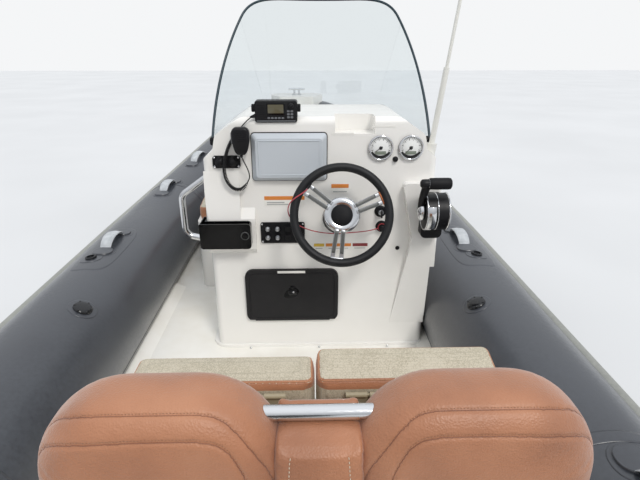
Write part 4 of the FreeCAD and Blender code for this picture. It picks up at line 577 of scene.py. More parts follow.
def snapped(piece, line):
    """Moves a line's points to the nearest of the piece's surface."""
    tree = BVHTree.FromObject(piece, bpy.context.evaluated_depsgraph_get())
    return np.array([tree.find_nearest(tuple(point))[0] for point in line], float)


def evenly(line, step, closed=False):
    """A line's points spaced evenly by about a step."""
    line = np.asarray(line, float)
    if closed:
        line = np.r_[line, line[:1]]
    far = np.r_[0, np.cumsum(np.linalg.norm(np.diff(line, axis=0), axis=1))]
    at = np.linspace(0, far[-1], max(3, int(round(far[-1] / step)) + 1))
    even = np.stack([np.interp(at, far, line[:, k]) for k in range(3)], axis=1)
    return even[:-1] if closed else even


def stuffed(piece, cap, seams=(), voxel=0.005, finish=0.0035, depth=0.0022):
    """Swells a pad by pressure as cloth, its seams pinned and every move capped, then subdivides and grooves it."""
    remesh = piece.modifiers.new("remesh", "REMESH")
    remesh.mode = "VOXEL"
    remesh.voxel_size = voxel
    before = settled(piece)
    pinned = np.zeros(len(before))
    for line in seams:
        pinned = np.maximum(pinned, np.clip(1.6 - nearness(before, line) / voxel, 0, 1))
    group = piece.vertex_groups.new(name="seams")
    for i in np.flatnonzero(pinned > 0.05):
        group.add([int(i)], float(pinned[i]), "REPLACE")
    cloth = piece.modifiers.new("cloth", "CLOTH")
    cloth.settings.use_pressure = True
    cloth.settings.uniform_pressure_force = 4.0
    cloth.settings.quality = 4
    cloth.settings.effector_weights.gravity = 0.0
    if seams:
        cloth.settings.vertex_group_mass = "seams"
    for number in range(1, 15):
        scene.frame_set(number)
    after = settled(piece)
    scene.frame_set(1)
    move = after - before
    size = np.linalg.norm(move, axis=1, keepdims=True)
    place = before + move * np.minimum(1.0, cap / np.maximum(size, 1e-9))
    piece.data.vertices.foreach_set("co", place.ravel())
    piece.vertex_groups.clear()
    piece.modifiers.new("finer", "SUBSURF").levels = 1
    points = settled(piece)
    normals = np.empty(3 * len(points))
    piece.data.vertices.foreach_get("normal", normals)
    normals = normals.reshape(-1, 3)
    for line in seams:
        gap = nearness(points, line)
        points = points - normals * (depth * np.exp(-(gap / finish) ** 2))[:, None]
    piece.data.vertices.foreach_set("co", points.ravel())
    piece.data.polygons.foreach_set("use_smooth", [True] * len(piece.data.polygons))
    piece.data.update()
    return piece


def piping(name, line, thickness, material, body="boat", closed=True, up=(0.13, 0.21, 0.97)):
    """Round welt along a seam."""
    return carried(name, line, circle(thickness / 2, 8), up, material, body, closed)


def stitches(name, line, off, length, pitch, thickness, material, body="boat", closed=False):
    """Row of sewn stitches: short spindles laid along a line, lifted by off metres, each sunk at both ends."""
    spots = evenly(line, pitch, closed)
    ahead = unit(np.roll(spots, -1, axis=0) - np.roll(spots, 1, axis=0)) if closed else unit(np.gradient(spots, axis=0))
    side = unit(np.cross(ahead, off))
    lift = np.cross(side, ahead)
    run = np.linspace(-0.5, 0.5, 5)
    width = thickness / 2 * np.array([0.35, 0.9, 1.0, 0.9, 0.35])
    sink = np.linalg.norm(off) - thickness * 0.6 * (2 * run) ** 2
    turn = np.arange(5) * 2 * np.pi / 5
    ring = (np.cos(turn)[None, :, None] * side[:, None, None] + np.sin(turn)[None, :, None] * lift[:, None, None])
    grid = (spots[:, None, None] + ahead[:, None, None] * (run * length)[None, :, None, None]
            + lift[:, None, None] * np.sign(np.sum(lift * off, axis=1))[:, None, None, None] * sink[None, :, None, None]
            + ring * width[None, :, None, None])
    one = np.array(quads(5, 5, False, True))
    faces = (one[None] + 25 * np.arange(len(spots))[:, None, None]).reshape(-1, 4).tolist()
    caps = np.array([[0, 1, 2, 3, 4], [24, 23, 22, 21, 20]])
    faces += (caps[None] + 25 * np.arange(len(spots))[:, None, None]).reshape(-1, 5).tolist()
    return put(name, grid, faces, material, body)


def two_tone(piece, side_material, towards=(0, 0, 1), limit=0.7, down_to=None):
    """Gives the faces that don't look one way a second material, all of them or those above a height."""
    mesh = piece.data
    mesh.materials.append(side_material)
    normals = np.empty(3 * len(mesh.polygons))
    mesh.polygons.foreach_get("normal", normals)
    away = normals.reshape(-1, 3) @ unit(towards) < limit
    if down_to is not None:
        middles = np.empty(3 * len(mesh.polygons))
        mesh.polygons.foreach_get("center", middles)
        away &= middles.reshape(-1, 3)[:, 2] > down_to
    mesh.polygons.foreach_set("material_index", away.astype(np.int32))
    return piece


# Darker tan for the welts in the seat-back seam grooves: painted shade of the creases.
TAN_SEAM_SHADE = vinyl("tan_vinyl_painted_seam_shade", "#8A5639", "#75452C", "#9A6444")
TAN_WELT = vinyl("tan_vinyl_welt", "#B57C55", "#9C6845", "#C28B64")
THREAD = webbing("pale_bonded_thread", "#E4D6C2", "#CFC0A8", 0.0008)
THREAD_TAN = webbing("tan_bonded_thread", "#A87450", "#946142", 0.0008)

BACK_X = 0.114
BACK_W, BACK_GAP, BACK_Y, BACK_T = 0.356, 0.106, -1.205, 0.150
BACK_LOW, BACK_TOP = 0.6323, 0.9197
SWELL, PROUD = 0.006, 0.008
# Seams of one lobe: distance out from its inner edge, towards the face from the middle plane, and height
UPPER_SEAM = np.array([(0.004, 0.045, 0.700), (0.012, 0.052, 0.780), (0.024, 0.060, 0.812), (0.042, 0.062, 0.845),
                       (0.058, 0.061, 0.872), (0.074, 0.054, 0.890), (0.092, 0.050, 0.900), (0.112, 0.050, 0.906),
                       (0.200, 0.052, 0.908), (0.290, 0.046, 0.902), (0.325, 0.026, 0.885), (0.346, 0.020, 0.864),
                       (0.356, 0.028, 0.840), (0.362, 0.035, 0.790), (0.364, 0.036, 0.690)])
LOWER_SEAM = np.array([(0.040, 0.070, 0.690), (0.048, 0.072, 0.760), (0.057, 0.074, 0.808), (0.070, 0.074, 0.842),
                       (0.083, 0.073, 0.862), (0.098, 0.072, 0.870), (0.120, 0.072, 0.874), (0.205, 0.073, 0.874),
                       (0.300, 0.066, 0.868), (0.335, 0.052, 0.856), (0.352, 0.042, 0.838), (0.360, 0.042, 0.812),
                       (0.362, 0.046, 0.760), (0.362, 0.048, 0.680)])
for side, node in ((-1, "seat_back_port"), (1, "seat_back_starboard")):
    x = BACK_X + side * (BACK_GAP + BACK_W) / 2
    z = (BACK_LOW + BACK_TOP) / 2
    height = BACK_TOP - BACK_LOW
    lobe = pillow(node + "_pad", box_outline(BACK_W - 2 * SWELL + 2 * PROUD, height - 2 * SWELL,
                                             (0.130, 0.130, 0.03, 0.03)), height / 2 - SWELL,
                  BACK_T - 2 * SWELL, 0.058, 0.003, (x, BACK_Y, z), (1, 0, 0), (0, 0, 1), TAN)
    seams = []
    for plan in (UPPER_SEAM, LOWER_SEAM):
        for way in (1, -1):
            flat = line_of(np.c_[BACK_X + side * (BACK_GAP / 2 - PROUD + plan[:, 0]), BACK_Y - way * plan[:, 1],
                                 plan[:, 2]])
            seams.append(evenly(snapped(lobe, flat), 0.003))
    stuffed(lobe, SWELL, seams, 0.006)
    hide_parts(node)
    for k, line in enumerate(seams):
        way = 1 if k % 2 == 0 else -1
        lying = snapped(lobe, line)
        # The welt in each seam groove is the darker tan: painted shade of the crease.
        piping(f"{node}_seam_{k}", lying, 0.0016, TAN_SEAM_SHADE, closed=False)
        stitches(f"{node}_stitch_{k}", snapped(lobe, lying + (0.0, -0.002 * way, 0.0045)), (0, -0.0004 * way, 0.0001),
                 0.0030, 0.0046, 0.0008, THREAD_TAN)

# Middle pad between the lobes: it passes under the bar and stands up a little in front of it
SIDE_VIEW = np.array([(-1.160, 0.634), (-1.151, 0.836), (-1.168, 0.860), (-1.186, 0.841), (-1.214, 0.841),
                      (-1.254, 0.839), (-1.264, 0.780), (-1.266, 0.634)])
middle = np.array([-1.210, 0.740])
profile = cornered(SIDE_VIEW, (0.010, 0.012, 0.010, 0.006, 0.012, 0.034, 0.030, 0.010), 7, 8)
spans = [(-0.063, 0.97), (-0.062, 1.0), (-0.056, 1.01), *((u, 1.0) for u in np.linspace(-0.047, 0.047, 13)),
         (0.056, 1.01), (0.062, 1.0), (0.063, 0.97)]
grid = np.stack([np.c_[np.full(len(profile), BACK_X + u), middle + (profile - middle) * s] for u, s in spans])
rows, cols = grid.shape[:2]
centre_pad = put("seat_centre_pad", grid, quads(rows, cols, False, True)
                 + [list(range(cols)), list(range((rows - 1) * cols, rows * cols))], TAN)
fold_lines = []
for side in (-1, 1):
    high = np.linspace(0.655, 0.832, 60)
    fold_lines.append(snapped(centre_pad, np.c_[BACK_X + side * np.interp(high, (0.70, 0.832), (0.0490, 0.0415)),
                                                np.full(60, -1.275), high]))
stuffed(centre_pad, 0.003, fold_lines, 0.005, 0.004, 0.0012)
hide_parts("seat_centre")
for k, line in enumerate(fold_lines):
    stitches(f"seat_centre_stitch_{k}", snapped(centre_pad, line), (0, -0.0008, 0), 0.0044, 0.0064, 0.0017, THREAD)


# Flip-up bolsters: woven tops over a tan band, a welt round the top panel
BOLSTER_TOP = 0.674
for node, body, lift in (("bolster_port", "bolster_left", 0.0), ("bolster_starboard", "bolster_right", 0.023)):
    (low_x, low_y, low_z), (high_x, high_y, high_z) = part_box(node)
    width, deep, thick, swell = high_x - low_x, high_y - low_y, BOLSTER_TOP - low_z, 0.003
    place = ((low_x + high_x) / 2, (low_y + high_y) / 2, low_z + thick / 2)
    pad = pillow(node + "_pad", box_outline(width - 2 * swell + 0.005, deep - 2 * swell, 0.016), deep / 2 - swell,
                 thick - 2 * swell, 0.010, 0.002, place, (1, 0, 0), (0, 1, 0), WEAVE, body)

    def sheared(points):
        """Raises the top by lift at the forward edge, in step with depth and height."""
        points = np.array(points, float)
        share = np.clip((points[:, 1] - low_y) / deep, 0, 1) * np.clip((points[:, 2] - low_z) / thick, 0, 1)
        points[:, 2] += lift * share
        return points

    pad.data.vertices.foreach_set("co", sheared(points_of(pad.data)).ravel())
    welt = rounded(width - 2 * swell + 0.001, deep - 2 * swell - 0.004, 0.015, 8, 24)
    welt = sheared(np.c_[place[0] + welt[:, 0], place[1] + welt[:, 1],
                         np.full(len(welt), BOLSTER_TOP - swell - 0.0035)])
    stuffed(pad, swell, [evenly(welt, 0.003, True)], 0.005, 0.0035, 0.0015)
    two_tone(pad, TAN, (0, 0, 1), 0.72, 0.648)
    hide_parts(node)
    edge_line = snapped(pad, evenly(welt, 0.004, True))
    piping(node + "_welt", edge_line, 0.0032, TAN_WELT, body)
    stitches(node + "_stitch", snapped(pad, edge_line + (0, 0, -0.006)), (0, 0, 0.0004), 0.0034, 0.0052, 0.0009,
             THREAD_TAN, body, True)

# Seat cushion and bow cushion: woven tops with welts over vinyl sides
(low_x, low_y, low_z), (high_x, high_y, high_z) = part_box("seat_cushion")
swell = 0.003
place = ((low_x + high_x) / 2, (low_y + high_y) / 2, (low_z + high_z) / 2)
shape = box_outline(high_x - low_x - 2 * swell, high_y - low_y - 2 * swell, 0.020)
seat_pad = pillow("seat_cushion_pad", shape, (high_y - low_y) / 2 - swell, high_z - low_z - 2 * swell, 0.014,
                  0.0, place, (1, 0, 0), (0, 1, 0), WEAVE)
bow_low, bow_high = (corner[2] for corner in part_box("bow_cushion"))
BOW_CORNERS = np.array([(0.462, 0.568), (0.492, 1.200), (0.407, 1.8423), (-0.407, 1.8423), (-0.492, 1.200),
                        (-0.462, 0.568)])
bow_shape = cornered(BOW_CORNERS, (0.03, 0.12, 0.045, 0.045, 0.12, 0.03), 9, 16)
bow_middle = np.array([0.0, 1.205])
bow_pad = pillow("bow_cushion_pad", lambda inset: bow_middle + (bow_shape - bow_middle)
                 * max(0.0, 1 - (inset + swell) / 0.46), 0.46 - swell, bow_high - bow_low - 2 * swell, 0.014,
                 0.003, (0, 0, (bow_low + bow_high) / 2), (1, 0, 0), (0, 1, 0), WEAVE)
for pad, node, top, outline, voxel in (
        (seat_pad, "seat_cushion", high_z, shape(0.003) + np.array(place[:2]), 0.009),
        (bow_pad, "bow_cushion", bow_high, bow_middle + (bow_shape - bow_middle) * 0.989, 0.014)):
    welt = evenly(np.c_[outline, np.full(len(outline), top - 0.006)], 0.004, True)
    stuffed(pad, swell, [welt], voxel, 0.004, 0.0015)
    two_tone(pad, TAN, (0, 0, 1), 0.72)
    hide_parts(node)
    piping(node + "_welt", snapped(pad, welt), 0.0036, TAN_WELT)


# Windshield: one bent sheet with its dark edge trim and clamp feet

def shield_edge(count=40):
    """Side view of the sheet's free edge, (y, z): up the rake, round a corner of 140 mm, then level."""
    low, corner, top = np.array([0.102, 1.020]), np.array([0.404, 1.546]), np.array([0.505, 1.546])
    way = unit(corner - low)
    half = math.acos(-way[0]) / 2
    back = 0.140 / math.tan(half)
    first, last = corner - way * back, corner + np.array([back, 0.0])
    share = np.linspace(0, 1, 12)[:, None]
    bend = (1 - share) ** 2 * first + 2 * share * (1 - share) * corner + share ** 2 * last
    rise = np.linspace(0, 1, count)[:-1, None]
    line = np.concatenate([low + rise * (first - low), bend])
    return line[line[:, 0] <= top[0]]


SHIELD_X, SHIELD_Y, SHIELD_R, SHIELD_T = 0.155, 0.080, 0.425, 0.006
edge = shield_edge()
far_angle = math.acos((edge[0, 0] - SHIELD_Y) / SHIELD_R)
angle = np.linspace(-far_angle, far_angle, 161)
edge_y = SHIELD_Y + SHIELD_R * np.cos(angle)
edge_z = np.interp(edge_y, edge[:, 0], edge[:, 1])
rise = np.linspace(0, 1, 25)[:, None]
layers = []
for radius in (SHIELD_R, SHIELD_R - SHIELD_T):
    layers.append(np.stack([SHIELD_X + radius * np.sin(angle) + 0 * rise, SHIELD_Y + radius * np.cos(angle) + 0 * rise,
                            1.0105 + rise * (edge_z - 1.0105)], axis=2))
loop = np.concatenate([layers[0], layers[1][::-1]])
ends = [[row * 161 + col for row in range(50)] for col in (0, 160)]
sheet = put("bent_windshield", loop, quads(50, 161, True, False) + ends, ACRYLIC)
crisp(sheet, 60)
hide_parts("windshield")
trim_line = np.stack([SHIELD_X + (SHIELD_R - SHIELD_T / 2) * np.sin(angle),
                      SHIELD_Y + (SHIELD_R - SHIELD_T / 2) * np.cos(angle), edge_z], axis=1)
carried("windshield_edge_trim", evenly(trim_line, 0.008), rounded(0.009, 0.009, 0.003, 3), (0.02, 0.31, 0.95),
        moulded("navy_rubber_edging", "#18303A", 0.4, 0.003, 0.0001))
for side in (0, -1):
    x, y = trim_line[side, :2]
    out = unit((x - SHIELD_X, y - SHIELD_Y, 0.0))
    along_edge = np.array([-out[1], out[0], 0.0])
    foot = raised(f"shield_clamp_{side + 1}", [rounded(0.034, 0.030, 0.008), rounded(0.034, 0.030, 0.008),
                                               rounded(0.026, 0.022, 0.006)], [-0.009, 0.006, 0.009],
                  (x, y + 0.012, 1.022), along_edge, (0, 0, 1), BLACK_SOFT)
    crisp(foot, 40)
    turned(f"shield_clamp_screw_{side + 1}", [(0.0, 0.0125), (0.003, 0.012), (0.0052, 0.0095), (0.0052, 0.007)],
           (x, y + 0.012, 1.024), np.cross(along_edge, (0, 0, 1)), STEEL, count=20)


# Small fittings of the console's aft face: everything stands off towards -Y

def screw_head(name, x, z, y, radius=0.0042, material=None):
    """Pan-head screw with a cross recess, on a face that looks aft."""
    head = turned(name, [(0.0, 0.0012), (radius * 0.28, 0.0012), (radius * 0.34, 0.0024), (radius * 0.8, 0.002),
                         (radius, 0.0006), (radius, 0.0)], (x, y, z), (0, -1, 0), material or STEEL, count=18)
    return head


def ring_line(centre, radius, across, upward, count=96):
    """Closed circle of points in metres."""
    turn = np.linspace(0, 2 * np.pi, count, endpoint=False)[:, None]
    return np.asarray(centre, float) + radius * (np.cos(turn) * unit(across) + np.sin(turn) * unit(upward))


def frame_line(x, z, width, height, radius, y, count=8, straight=12):
    """Closed rounded rectangle of points on a face that looks aft."""
    loop = rounded(width, height, radius, count, straight)
    return np.stack([x + loop[:, 0], np.full(len(loop), y), z + loop[:, 1]], axis=1)


GAUGE_Z = 1.015
GREEN_GLASS = moulded("grey_green_liquid_crystal", "#7C8478", 0.2, 0.02, 0.00002, 0.02)
INK = moulded("black_printing_ink", "#16171A", 0.5, 0.003, 0.00002)
SCALE_LINE = np.radians(np.linspace(225, -45, 28))
for k, x in enumerate((0.370, 0.482)):
    centre = (x, 0.0, GAUGE_Z)
    body = turned(f"gauge_body_{k}", [(0.0, 0.0), (0.0455, 0.0), (0.0455, 0.0085), (0.0402, 0.0092), (0.0395, 0.0060),
                                      (0.0, 0.0060)], centre, (0, -1, 0), BLACK, count=64)
    crisp(body, 30)
    if k == 0:
        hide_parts("gauges")
    bezel = np.stack([0.0036 * np.cos(np.linspace(0, 2 * np.pi, 14, endpoint=False)),
                      0.0030 * np.sin(np.linspace(0, 2 * np.pi, 14, endpoint=False))], axis=1)
    carried(f"gauge_bezel_{k}", ring_line((x, -0.0090, GAUGE_Z), 0.0430, (1, 0, 0), (0, 0, 1)), bezel,
            (0, -1, 0), STEEL, closed=True)
    turned(f"gauge_dial_{k}", [(0.0, 0.0066), (0.0390, 0.0066), (0.0396, 0.0060)], centre, (0, -1, 0), DIAL, count=64)
    turned(f"gauge_hub_{k}", [(0.0, 0.0100), (0.0045, 0.0098), (0.0062, 0.0086), (0.0066, 0.0066)], centre, (0, -1, 0),
           INK, count=24)
    ticks = []
    for i, turn in enumerate(SCALE_LINE):
        way = np.array([math.cos(turn), 0.0, math.sin(turn)])
        across = np.array([-way[2], 0.0, way[0]]) * (0.0006 if i % 3 else 0.0011)
        inner, outer = (0.0310 if i % 3 else 0.0285), 0.0358
        ticks.append([way * inner - across, way * inner + across, way * outer + across, way * outer - across])
    ticks = np.array(ticks) + np.array([x, -0.00685, GAUGE_Z])
    put(f"gauge_scale_{k}", ticks, (np.arange(4) + 4 * np.arange(28)[:, None]).tolist(), INK, closed=False,
        smooth=False)
    turn = np.radians(np.linspace(205, 335, 30))
    crescent = np.concatenate([np.c_[0.0388 * np.cos(turn), 0.0388 * np.sin(turn)],
                               np.c_[0.0335 * np.cos(turn[::-1]), 0.0388 * np.sin(turn[::-1]) * 0.72]])
    put(f"gauge_crescent_{k}", np.c_[x + crescent[:, 0], np.full(60, -0.00680), GAUGE_Z + crescent[:, 1]],
        [list(range(60))], INK, closed=False, smooth=False)
    plate(f"gauge_display_{k}", (x, -0.0066, GAUGE_Z - 0.0180), 0.040, 0.0125, 0.0020, 0.0009, 0.0003, GREEN_GLASS)
    point = math.radians(222 if k else 214)
    way = np.array([math.cos(point), math.sin(point)])
    across = np.array([-way[1], way[0]])
    hand = np.stack([-0.008 * way + 0.0016 * across, 0.029 * way + 0.0005 * across, 0.029 * way - 0.0005 * across,
                     -0.008 * way - 0.0016 * across])
    raised(f"gauge_hand_{k}", [hand, hand], [0.0074, 0.0084], (x, 0.0, GAUGE_Z), *AFT, INK, smooth=False)
turned("panel_knob", [(0.0, 0.0140), (0.0062, 0.0138), (0.0078, 0.0125), (0.0088, 0.0040), (0.0106, 0.0020),
                      (0.0106, 0.0)], (0.427, 0.0, 0.972), (0, -1, 0), BLACK, count=40)


# Radio: body on the dash top with its grille, screen, keys and side knobs

RADIO_X, RADIO_Z, RADIO_FACE = -0.011, 1.146, -0.008
shell = [rounded(0.152 - 2 * i, 0.076 - 2 * i, 0.009 - i) for i in (0.0, 0.0, 0.0012, 0.004)]
radio = raised("radio_body", shell, [-0.056, -0.004, -0.0008, 0.0], (RADIO_X, RADIO_FACE, RADIO_Z), *AFT, BLACK)
crisp(radio, 40)
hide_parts("vhf_radio")
SCREEN = moulded("olive_radio_screen", "#5B5643", 0.12, 0.03, 0.00002, 0.02)
KEY_GREY = moulded("grey_silicone_keys", "#6A6C70", 0.6, 0.002, 0.00008)
plate("radio_screen_frame", (RADIO_X - 0.001, RADIO_FACE, RADIO_Z + 0.009), 0.066, 0.040, 0.005, 0.0016, 0.001,
      BLACK_GLOSS)
plate("radio_screen", (RADIO_X - 0.001, RADIO_FACE - 0.0014, RADIO_Z + 0.010), 0.056, 0.030, 0.002, 0.0008,
      0.0003, SCREEN)
for i in range(7):
    plate(f"radio_grille_bar_{i}", (RADIO_X - 0.054, RADIO_FACE + 0.0004, RADIO_Z + 0.024 - 0.0062 * i), 0.030, 0.0030,
          0.0014, 0.0018, 0.0008, BLACK_SOFT)
for i in range(5):
    plate(f"radio_soft_key_{i}", (RADIO_X - 0.026 + 0.0125 * i, RADIO_FACE, RADIO_Z - 0.0215), 0.0095, 0.0062, 0.002,
          0.0022, 0.0008, KEY_GREY)
for i in range(6):
    plate(f"radio_key_{i}", (RADIO_X + 0.044 + 0.0125 * (i % 2), RADIO_FACE, RADIO_Z + 0.002 - 0.0105 * (i // 2)),
          0.0095, 0.0072, 0.002, 0.0022, 0.0008, KEY_GREY)
turned("radio_channel_knob", [(0.0, 0.0135), (0.0060, 0.0130), (0.0082, 0.0110), (0.0090, 0.0)],
       (RADIO_X + 0.054, RADIO_FACE, RADIO_Z + 0.021), (0, -1, 0), BLACK, count=28)
plate("radio_lower_trim", (RADIO_X, RADIO_FACE, RADIO_Z - 0.032), 0.140, 0.0036, 0.0016, 0.0014, 0.0006, KEY_GREY)
for side in (-1, 1):
    teeth = 24
    turn = np.linspace(0, 2 * np.pi, teeth * 2, endpoint=False)
    rim = np.stack([np.cos(turn), np.sin(turn)], axis=1) * np.where(np.arange(teeth * 2) % 2, 0.0128, 0.0140)[:, None]
    knob = raised(f"radio_side_knob_{side + 1}", [rim, rim, rim * 0.9], [0.0, 0.009, 0.011],
                  (RADIO_X + side * 0.0765, RADIO_FACE + 0.016, RADIO_Z + 0.012), (0, side, 0), (0, 0, 1), BLACK_SOFT)
    crisp(knob, 30)


# Fist microphone: rounded head that narrows to its neck, with a ribbed grille and a talk key on the side

MIC_X, MIC_Z, MIC_BACK = -0.138, 1.049, -0.025
steps = np.linspace(0, 0.5 * np.pi, 6)
forms = []
for inset in [0.004, 0.0, 0.0, *(0.009 * (1 - np.cos(steps[1:])))]:
    loop = rounded(0.064 - 2 * inset, 0.098 - 2 * inset, (0.020 - inset, 0.020 - inset, 0.016 - inset,
                                                          0.016 - inset), 9, 8)
    narrow = 1 - 0.42 * np.clip((0.006 - loop[:, 1]) / 0.055, 0, 1) ** 1.3
    forms.append(np.stack([loop[:, 0] * narrow, loop[:, 1]], axis=1))
mic = raised("microphone_body", forms, [0.0, 0.004, 0.021, *(0.021 + 0.009 * np.sin(steps[1:]))],
             (MIC_X, MIC_BACK, MIC_Z), *AFT, BLACK)
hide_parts("radio_mic")
for i in range(6):
    plate(f"microphone_rib_{i}", (MIC_X, MIC_BACK - 0.0292, MIC_Z + 0.036 - 0.0066 * i), 0.038 - 0.001 * abs(i - 2),
          0.0034, 0.0016, 0.0024, 0.0009, BLACK_SOFT)
plate("microphone_talk_key", (MIC_X - 0.0305, MIC_BACK - 0.013, MIC_Z + 0.010), 0.013, 0.040, 0.005, 0.004, 0.002,
      KEY_GREY, (0, -1, 0), (0, 0, 1))
turned("microphone_hanger", [(0.0, 0.0), (0.0120, 0.0), (0.0120, 0.0035), (0.0090, 0.0045), (0.0085, 0.0268),
                             (0.0, 0.0268)], (MIC_X, -0.0003, MIC_Z), (0, -1, 0), STEEL_SATIN, count=24)
turned("microphone_cord_boot", [(0.0030, 0.0), (0.0050, 0.002), (0.0062, 0.012), (0.0075, 0.014), (0.0, 0.014)],
       (-0.1385, -0.0385, 0.9895), (-0.06, -0.03, 1.0), BLACK_SOFT, count=20)
turned("radio_cord_boot", [(0.0075, 0.0), (0.0062, 0.004), (0.0035, 0.018), (0.0, 0.018)], (-0.0865, -0.0035, 1.1320),
       (-0.84, -0.45, -0.2), BLACK_SOFT, count=20)


# Socket plate, switch panel, key switches, cover and blank labels

SOCKET_X, SOCKET_Z, SWITCH_Z, PLATE_FACE = -0.200, 0.966, 0.684, -0.006
IGNITION, KILL_SWITCH = (0.380, 0.769), (0.387, 0.707)

for dx in (-1, 1):
    for dz in (-1, 1):
        screw_head(f"socket_screw_{dx + 1}{dz + 1}", SOCKET_X + dx * 0.0440, SOCKET_Z + dz * 0.0165, PLATE_FACE)
    turned(f"socket_lid_{dx + 1}", [(0.0, 0.0155), (0.0120, 0.0150), (0.0140, 0.0130), (0.0153, 0.0030),
                                    (0.0172, 0.0020), (0.0172, 0.0)],
           (SOCKET_X + dx * 0.024, PLATE_FACE, SOCKET_Z), (0, -1, 0), BLACK, count=40)
    plate(f"socket_lid_tab_{dx + 1}", (SOCKET_X + dx * 0.024, -0.018, 0.982), 0.010, 0.012, 0.003, 0.003, 0.001, BLACK)
for column, dx in enumerate((-0.058, -0.020, 0.020, 0.058)):
    for row, dz in enumerate((-0.018, 0.018)):
        if column < 2:
            turned(f"silver_push_button_{column}{row}", [(0.0, 0.0150), (0.0066, 0.0145), (0.0078, 0.0130),
                                                         (0.0080, 0.0078), (0.0100, 0.0070), (0.0104, 0.0)],
                   (dx, PLATE_FACE, SWITCH_Z + dz), (0, -1, 0), STEEL_SATIN, count=32)
        else:
            plate(f"rocker_key_{column}{row}", (dx, -0.0125, SWITCH_Z + dz), 0.020, 0.018, 0.003, 0.0035, 0.0015, BLACK)
for dx in (-1, 1):
    for dz in (-1, 1):
        screw_head(f"switch_panel_screw_{dx + 1}{dz + 1}", dx * 0.0795, SWITCH_Z + dz * 0.0365, PLATE_FACE)
for k, (x, z) in enumerate((IGNITION, KILL_SWITCH)):
    crisp(turned(f"key_switch_collar_{k}", [(0.0, 0.0096), (0.0150, 0.0096), (0.0200, 0.0088), (0.0222, 0.0070),
                                            (0.0228, 0.0), (0.0, 0.0)], (x, 0.0, z), (0, -1, 0), BLACK_SOFT,
                 count=48), 50)
turned("ignition_lock_face", [(0.0, 0.0238), (0.0085, 0.0238), (0.0100, 0.0222), (0.0104, 0.0215), (0.0, 0.0215)],
       (IGNITION[0], 0.0, IGNITION[1]), (0, -1, 0), STEEL_SATIN, count=32)
plate("ignition_key_blade", (IGNITION[0], -0.0235, IGNITION[1]), 0.0024, 0.0075, 0.0006, 0.012, 0.0005, STEEL)
raised("ignition_key_bow", [rounded(0.0050, 0.024, 0.0022), rounded(0.0062, 0.028, 0.0028),
                            rounded(0.0062, 0.028, 0.0028), rounded(0.0050, 0.019, 0.0022)],
       [0.0, 0.003, 0.014, 0.018], (IGNITION[0], -0.0325, IGNITION[1]), *AFT, BLACK)
turned("kill_switch_button", [(0.0, 0.0265), (0.0070, 0.0262), (0.0094, 0.0246), (0.0100, 0.0212), (0.0, 0.0210)],
       (KILL_SWITCH[0], 0.0, KILL_SWITCH[1]), (0, -1, 0), BLACK, count=32)
clip = np.radians(np.linspace(-60, 240, 40))
carried("kill_switch_clip", np.stack([KILL_SWITCH[0] + 0.0150 * np.cos(clip), np.full(40, -0.0165),
                                      KILL_SWITCH[1] + 0.0150 * np.sin(clip)], axis=1), circle(0.0018, 8),
        (0, -1, 0), moulded("red_nylon_clip", "#A8323A", 0.45, 0.002, 0.00008))

PLOTTER_X, PLOTTER_Z = 0.033, 0.983
for k, (dz, long) in enumerate(((0.064, 0.222), (-0.062, 0.214))):
    plate(f"cover_rib_{k}", (PLOTTER_X, -0.0296, PLOTTER_Z + dz), long, 0.0042, 0.002, 0.0022, 0.0012, COVER)
for side in (-1, 1):
    plate(f"cover_side_rib_{side + 1}", (PLOTTER_X + side * 0.1105, -0.0296, PLOTTER_Z), 0.0036, 0.122, 0.0018, 0.0018,
          0.001, COVER)
carried("cover_gasket", frame_line(PLOTTER_X, PLOTTER_Z, 0.278, 0.178, 0.013, -0.0016), circle(0.0018, 8), (0, -1, 0),
        BLACK_SOFT, closed=True)

PAPER = moulded("white_blank_label", "#ECEAE4", 0.45, 0.02, 0.00002)
ORANGE = moulded("orange_label_band", "#D9843A", 0.45, 0.02, 0.00002)
YELLOW = moulded("yellow_label_band", "#D8B545", 0.45, 0.02, 0.00002)
MAROON = moulded("maroon_label_band", "#8C3A3C", 0.45, 0.02, 0.00002)
GREY_PRINT = moulded("grey_label_band", "#A7A8A6", 0.45, 0.02, 0.00002)


def label(name, x, z, y, width, height, bands):
    """Blank sticker 0.5 mm thick whose coloured bands, (from, to, material) in shares of its width, lie on top."""
    plate(name, (x, y, z), width, height, 0.003, 0.0005, 0.0002, PAPER)
    for k, (left, right, low, high, material) in enumerate(bands):
        plate(f"{name}_band_{k}", (x + width * ((left + right) / 2 - 0.5), y - 0.0004,
                                   z + height * ((low + high) / 2 - 0.5)), width * (right - left),
              height * (high - low), 0.001, 0.0003, 0.0001, material)


FACE = -0.0002
label("label_tray_left", 0.229, 1.0665, FACE, 0.082, 0.008, ())
label("label_tray_right", 0.379, 1.092, FACE, 0.088, 0.006, ())
label("label_wheel_left", 0.010, 0.812, FACE, 0.154, 0.040, ((0.0, 1.0, 0.62, 1.0, ORANGE),
                                                             (0.06, 0.5, 0.3, 0.42, GREY_PRINT),
                                                             (0.06, 0.6, 0.12, 0.22, GREY_PRINT)))
label("label_dash_middle", 0.222, 0.858, FACE, 0.066, 0.040, ((0.0, 1.0, 0.62, 1.0, ORANGE),
                                                              (0.1, 0.9, 0.2, 0.3, GREY_PRINT)))
label("label_low_row", 0.229, 0.622, FACE, 0.214, 0.026, (
    (0.0, 0.19, 0.5, 1.0, YELLOW), (0.22, 0.69, 0.5, 1.0, ORANGE), (0.72, 1.0, 0.5, 1.0, MAROON),
    (0.03, 0.16, 0.14, 0.26, GREY_PRINT), (0.27, 0.64, 0.14, 0.26, GREY_PRINT), (0.75, 0.96, 0.14, 0.26, GREY_PRINT)))
label("label_low_strip", 0.222, 0.600, FACE, 0.044, 0.016, ())
for k, x in enumerate((-0.150, 0.142, 0.434)):
    screw_head(f"flange_screw_{k}", x, 0.1665, -0.026, 0.0055)
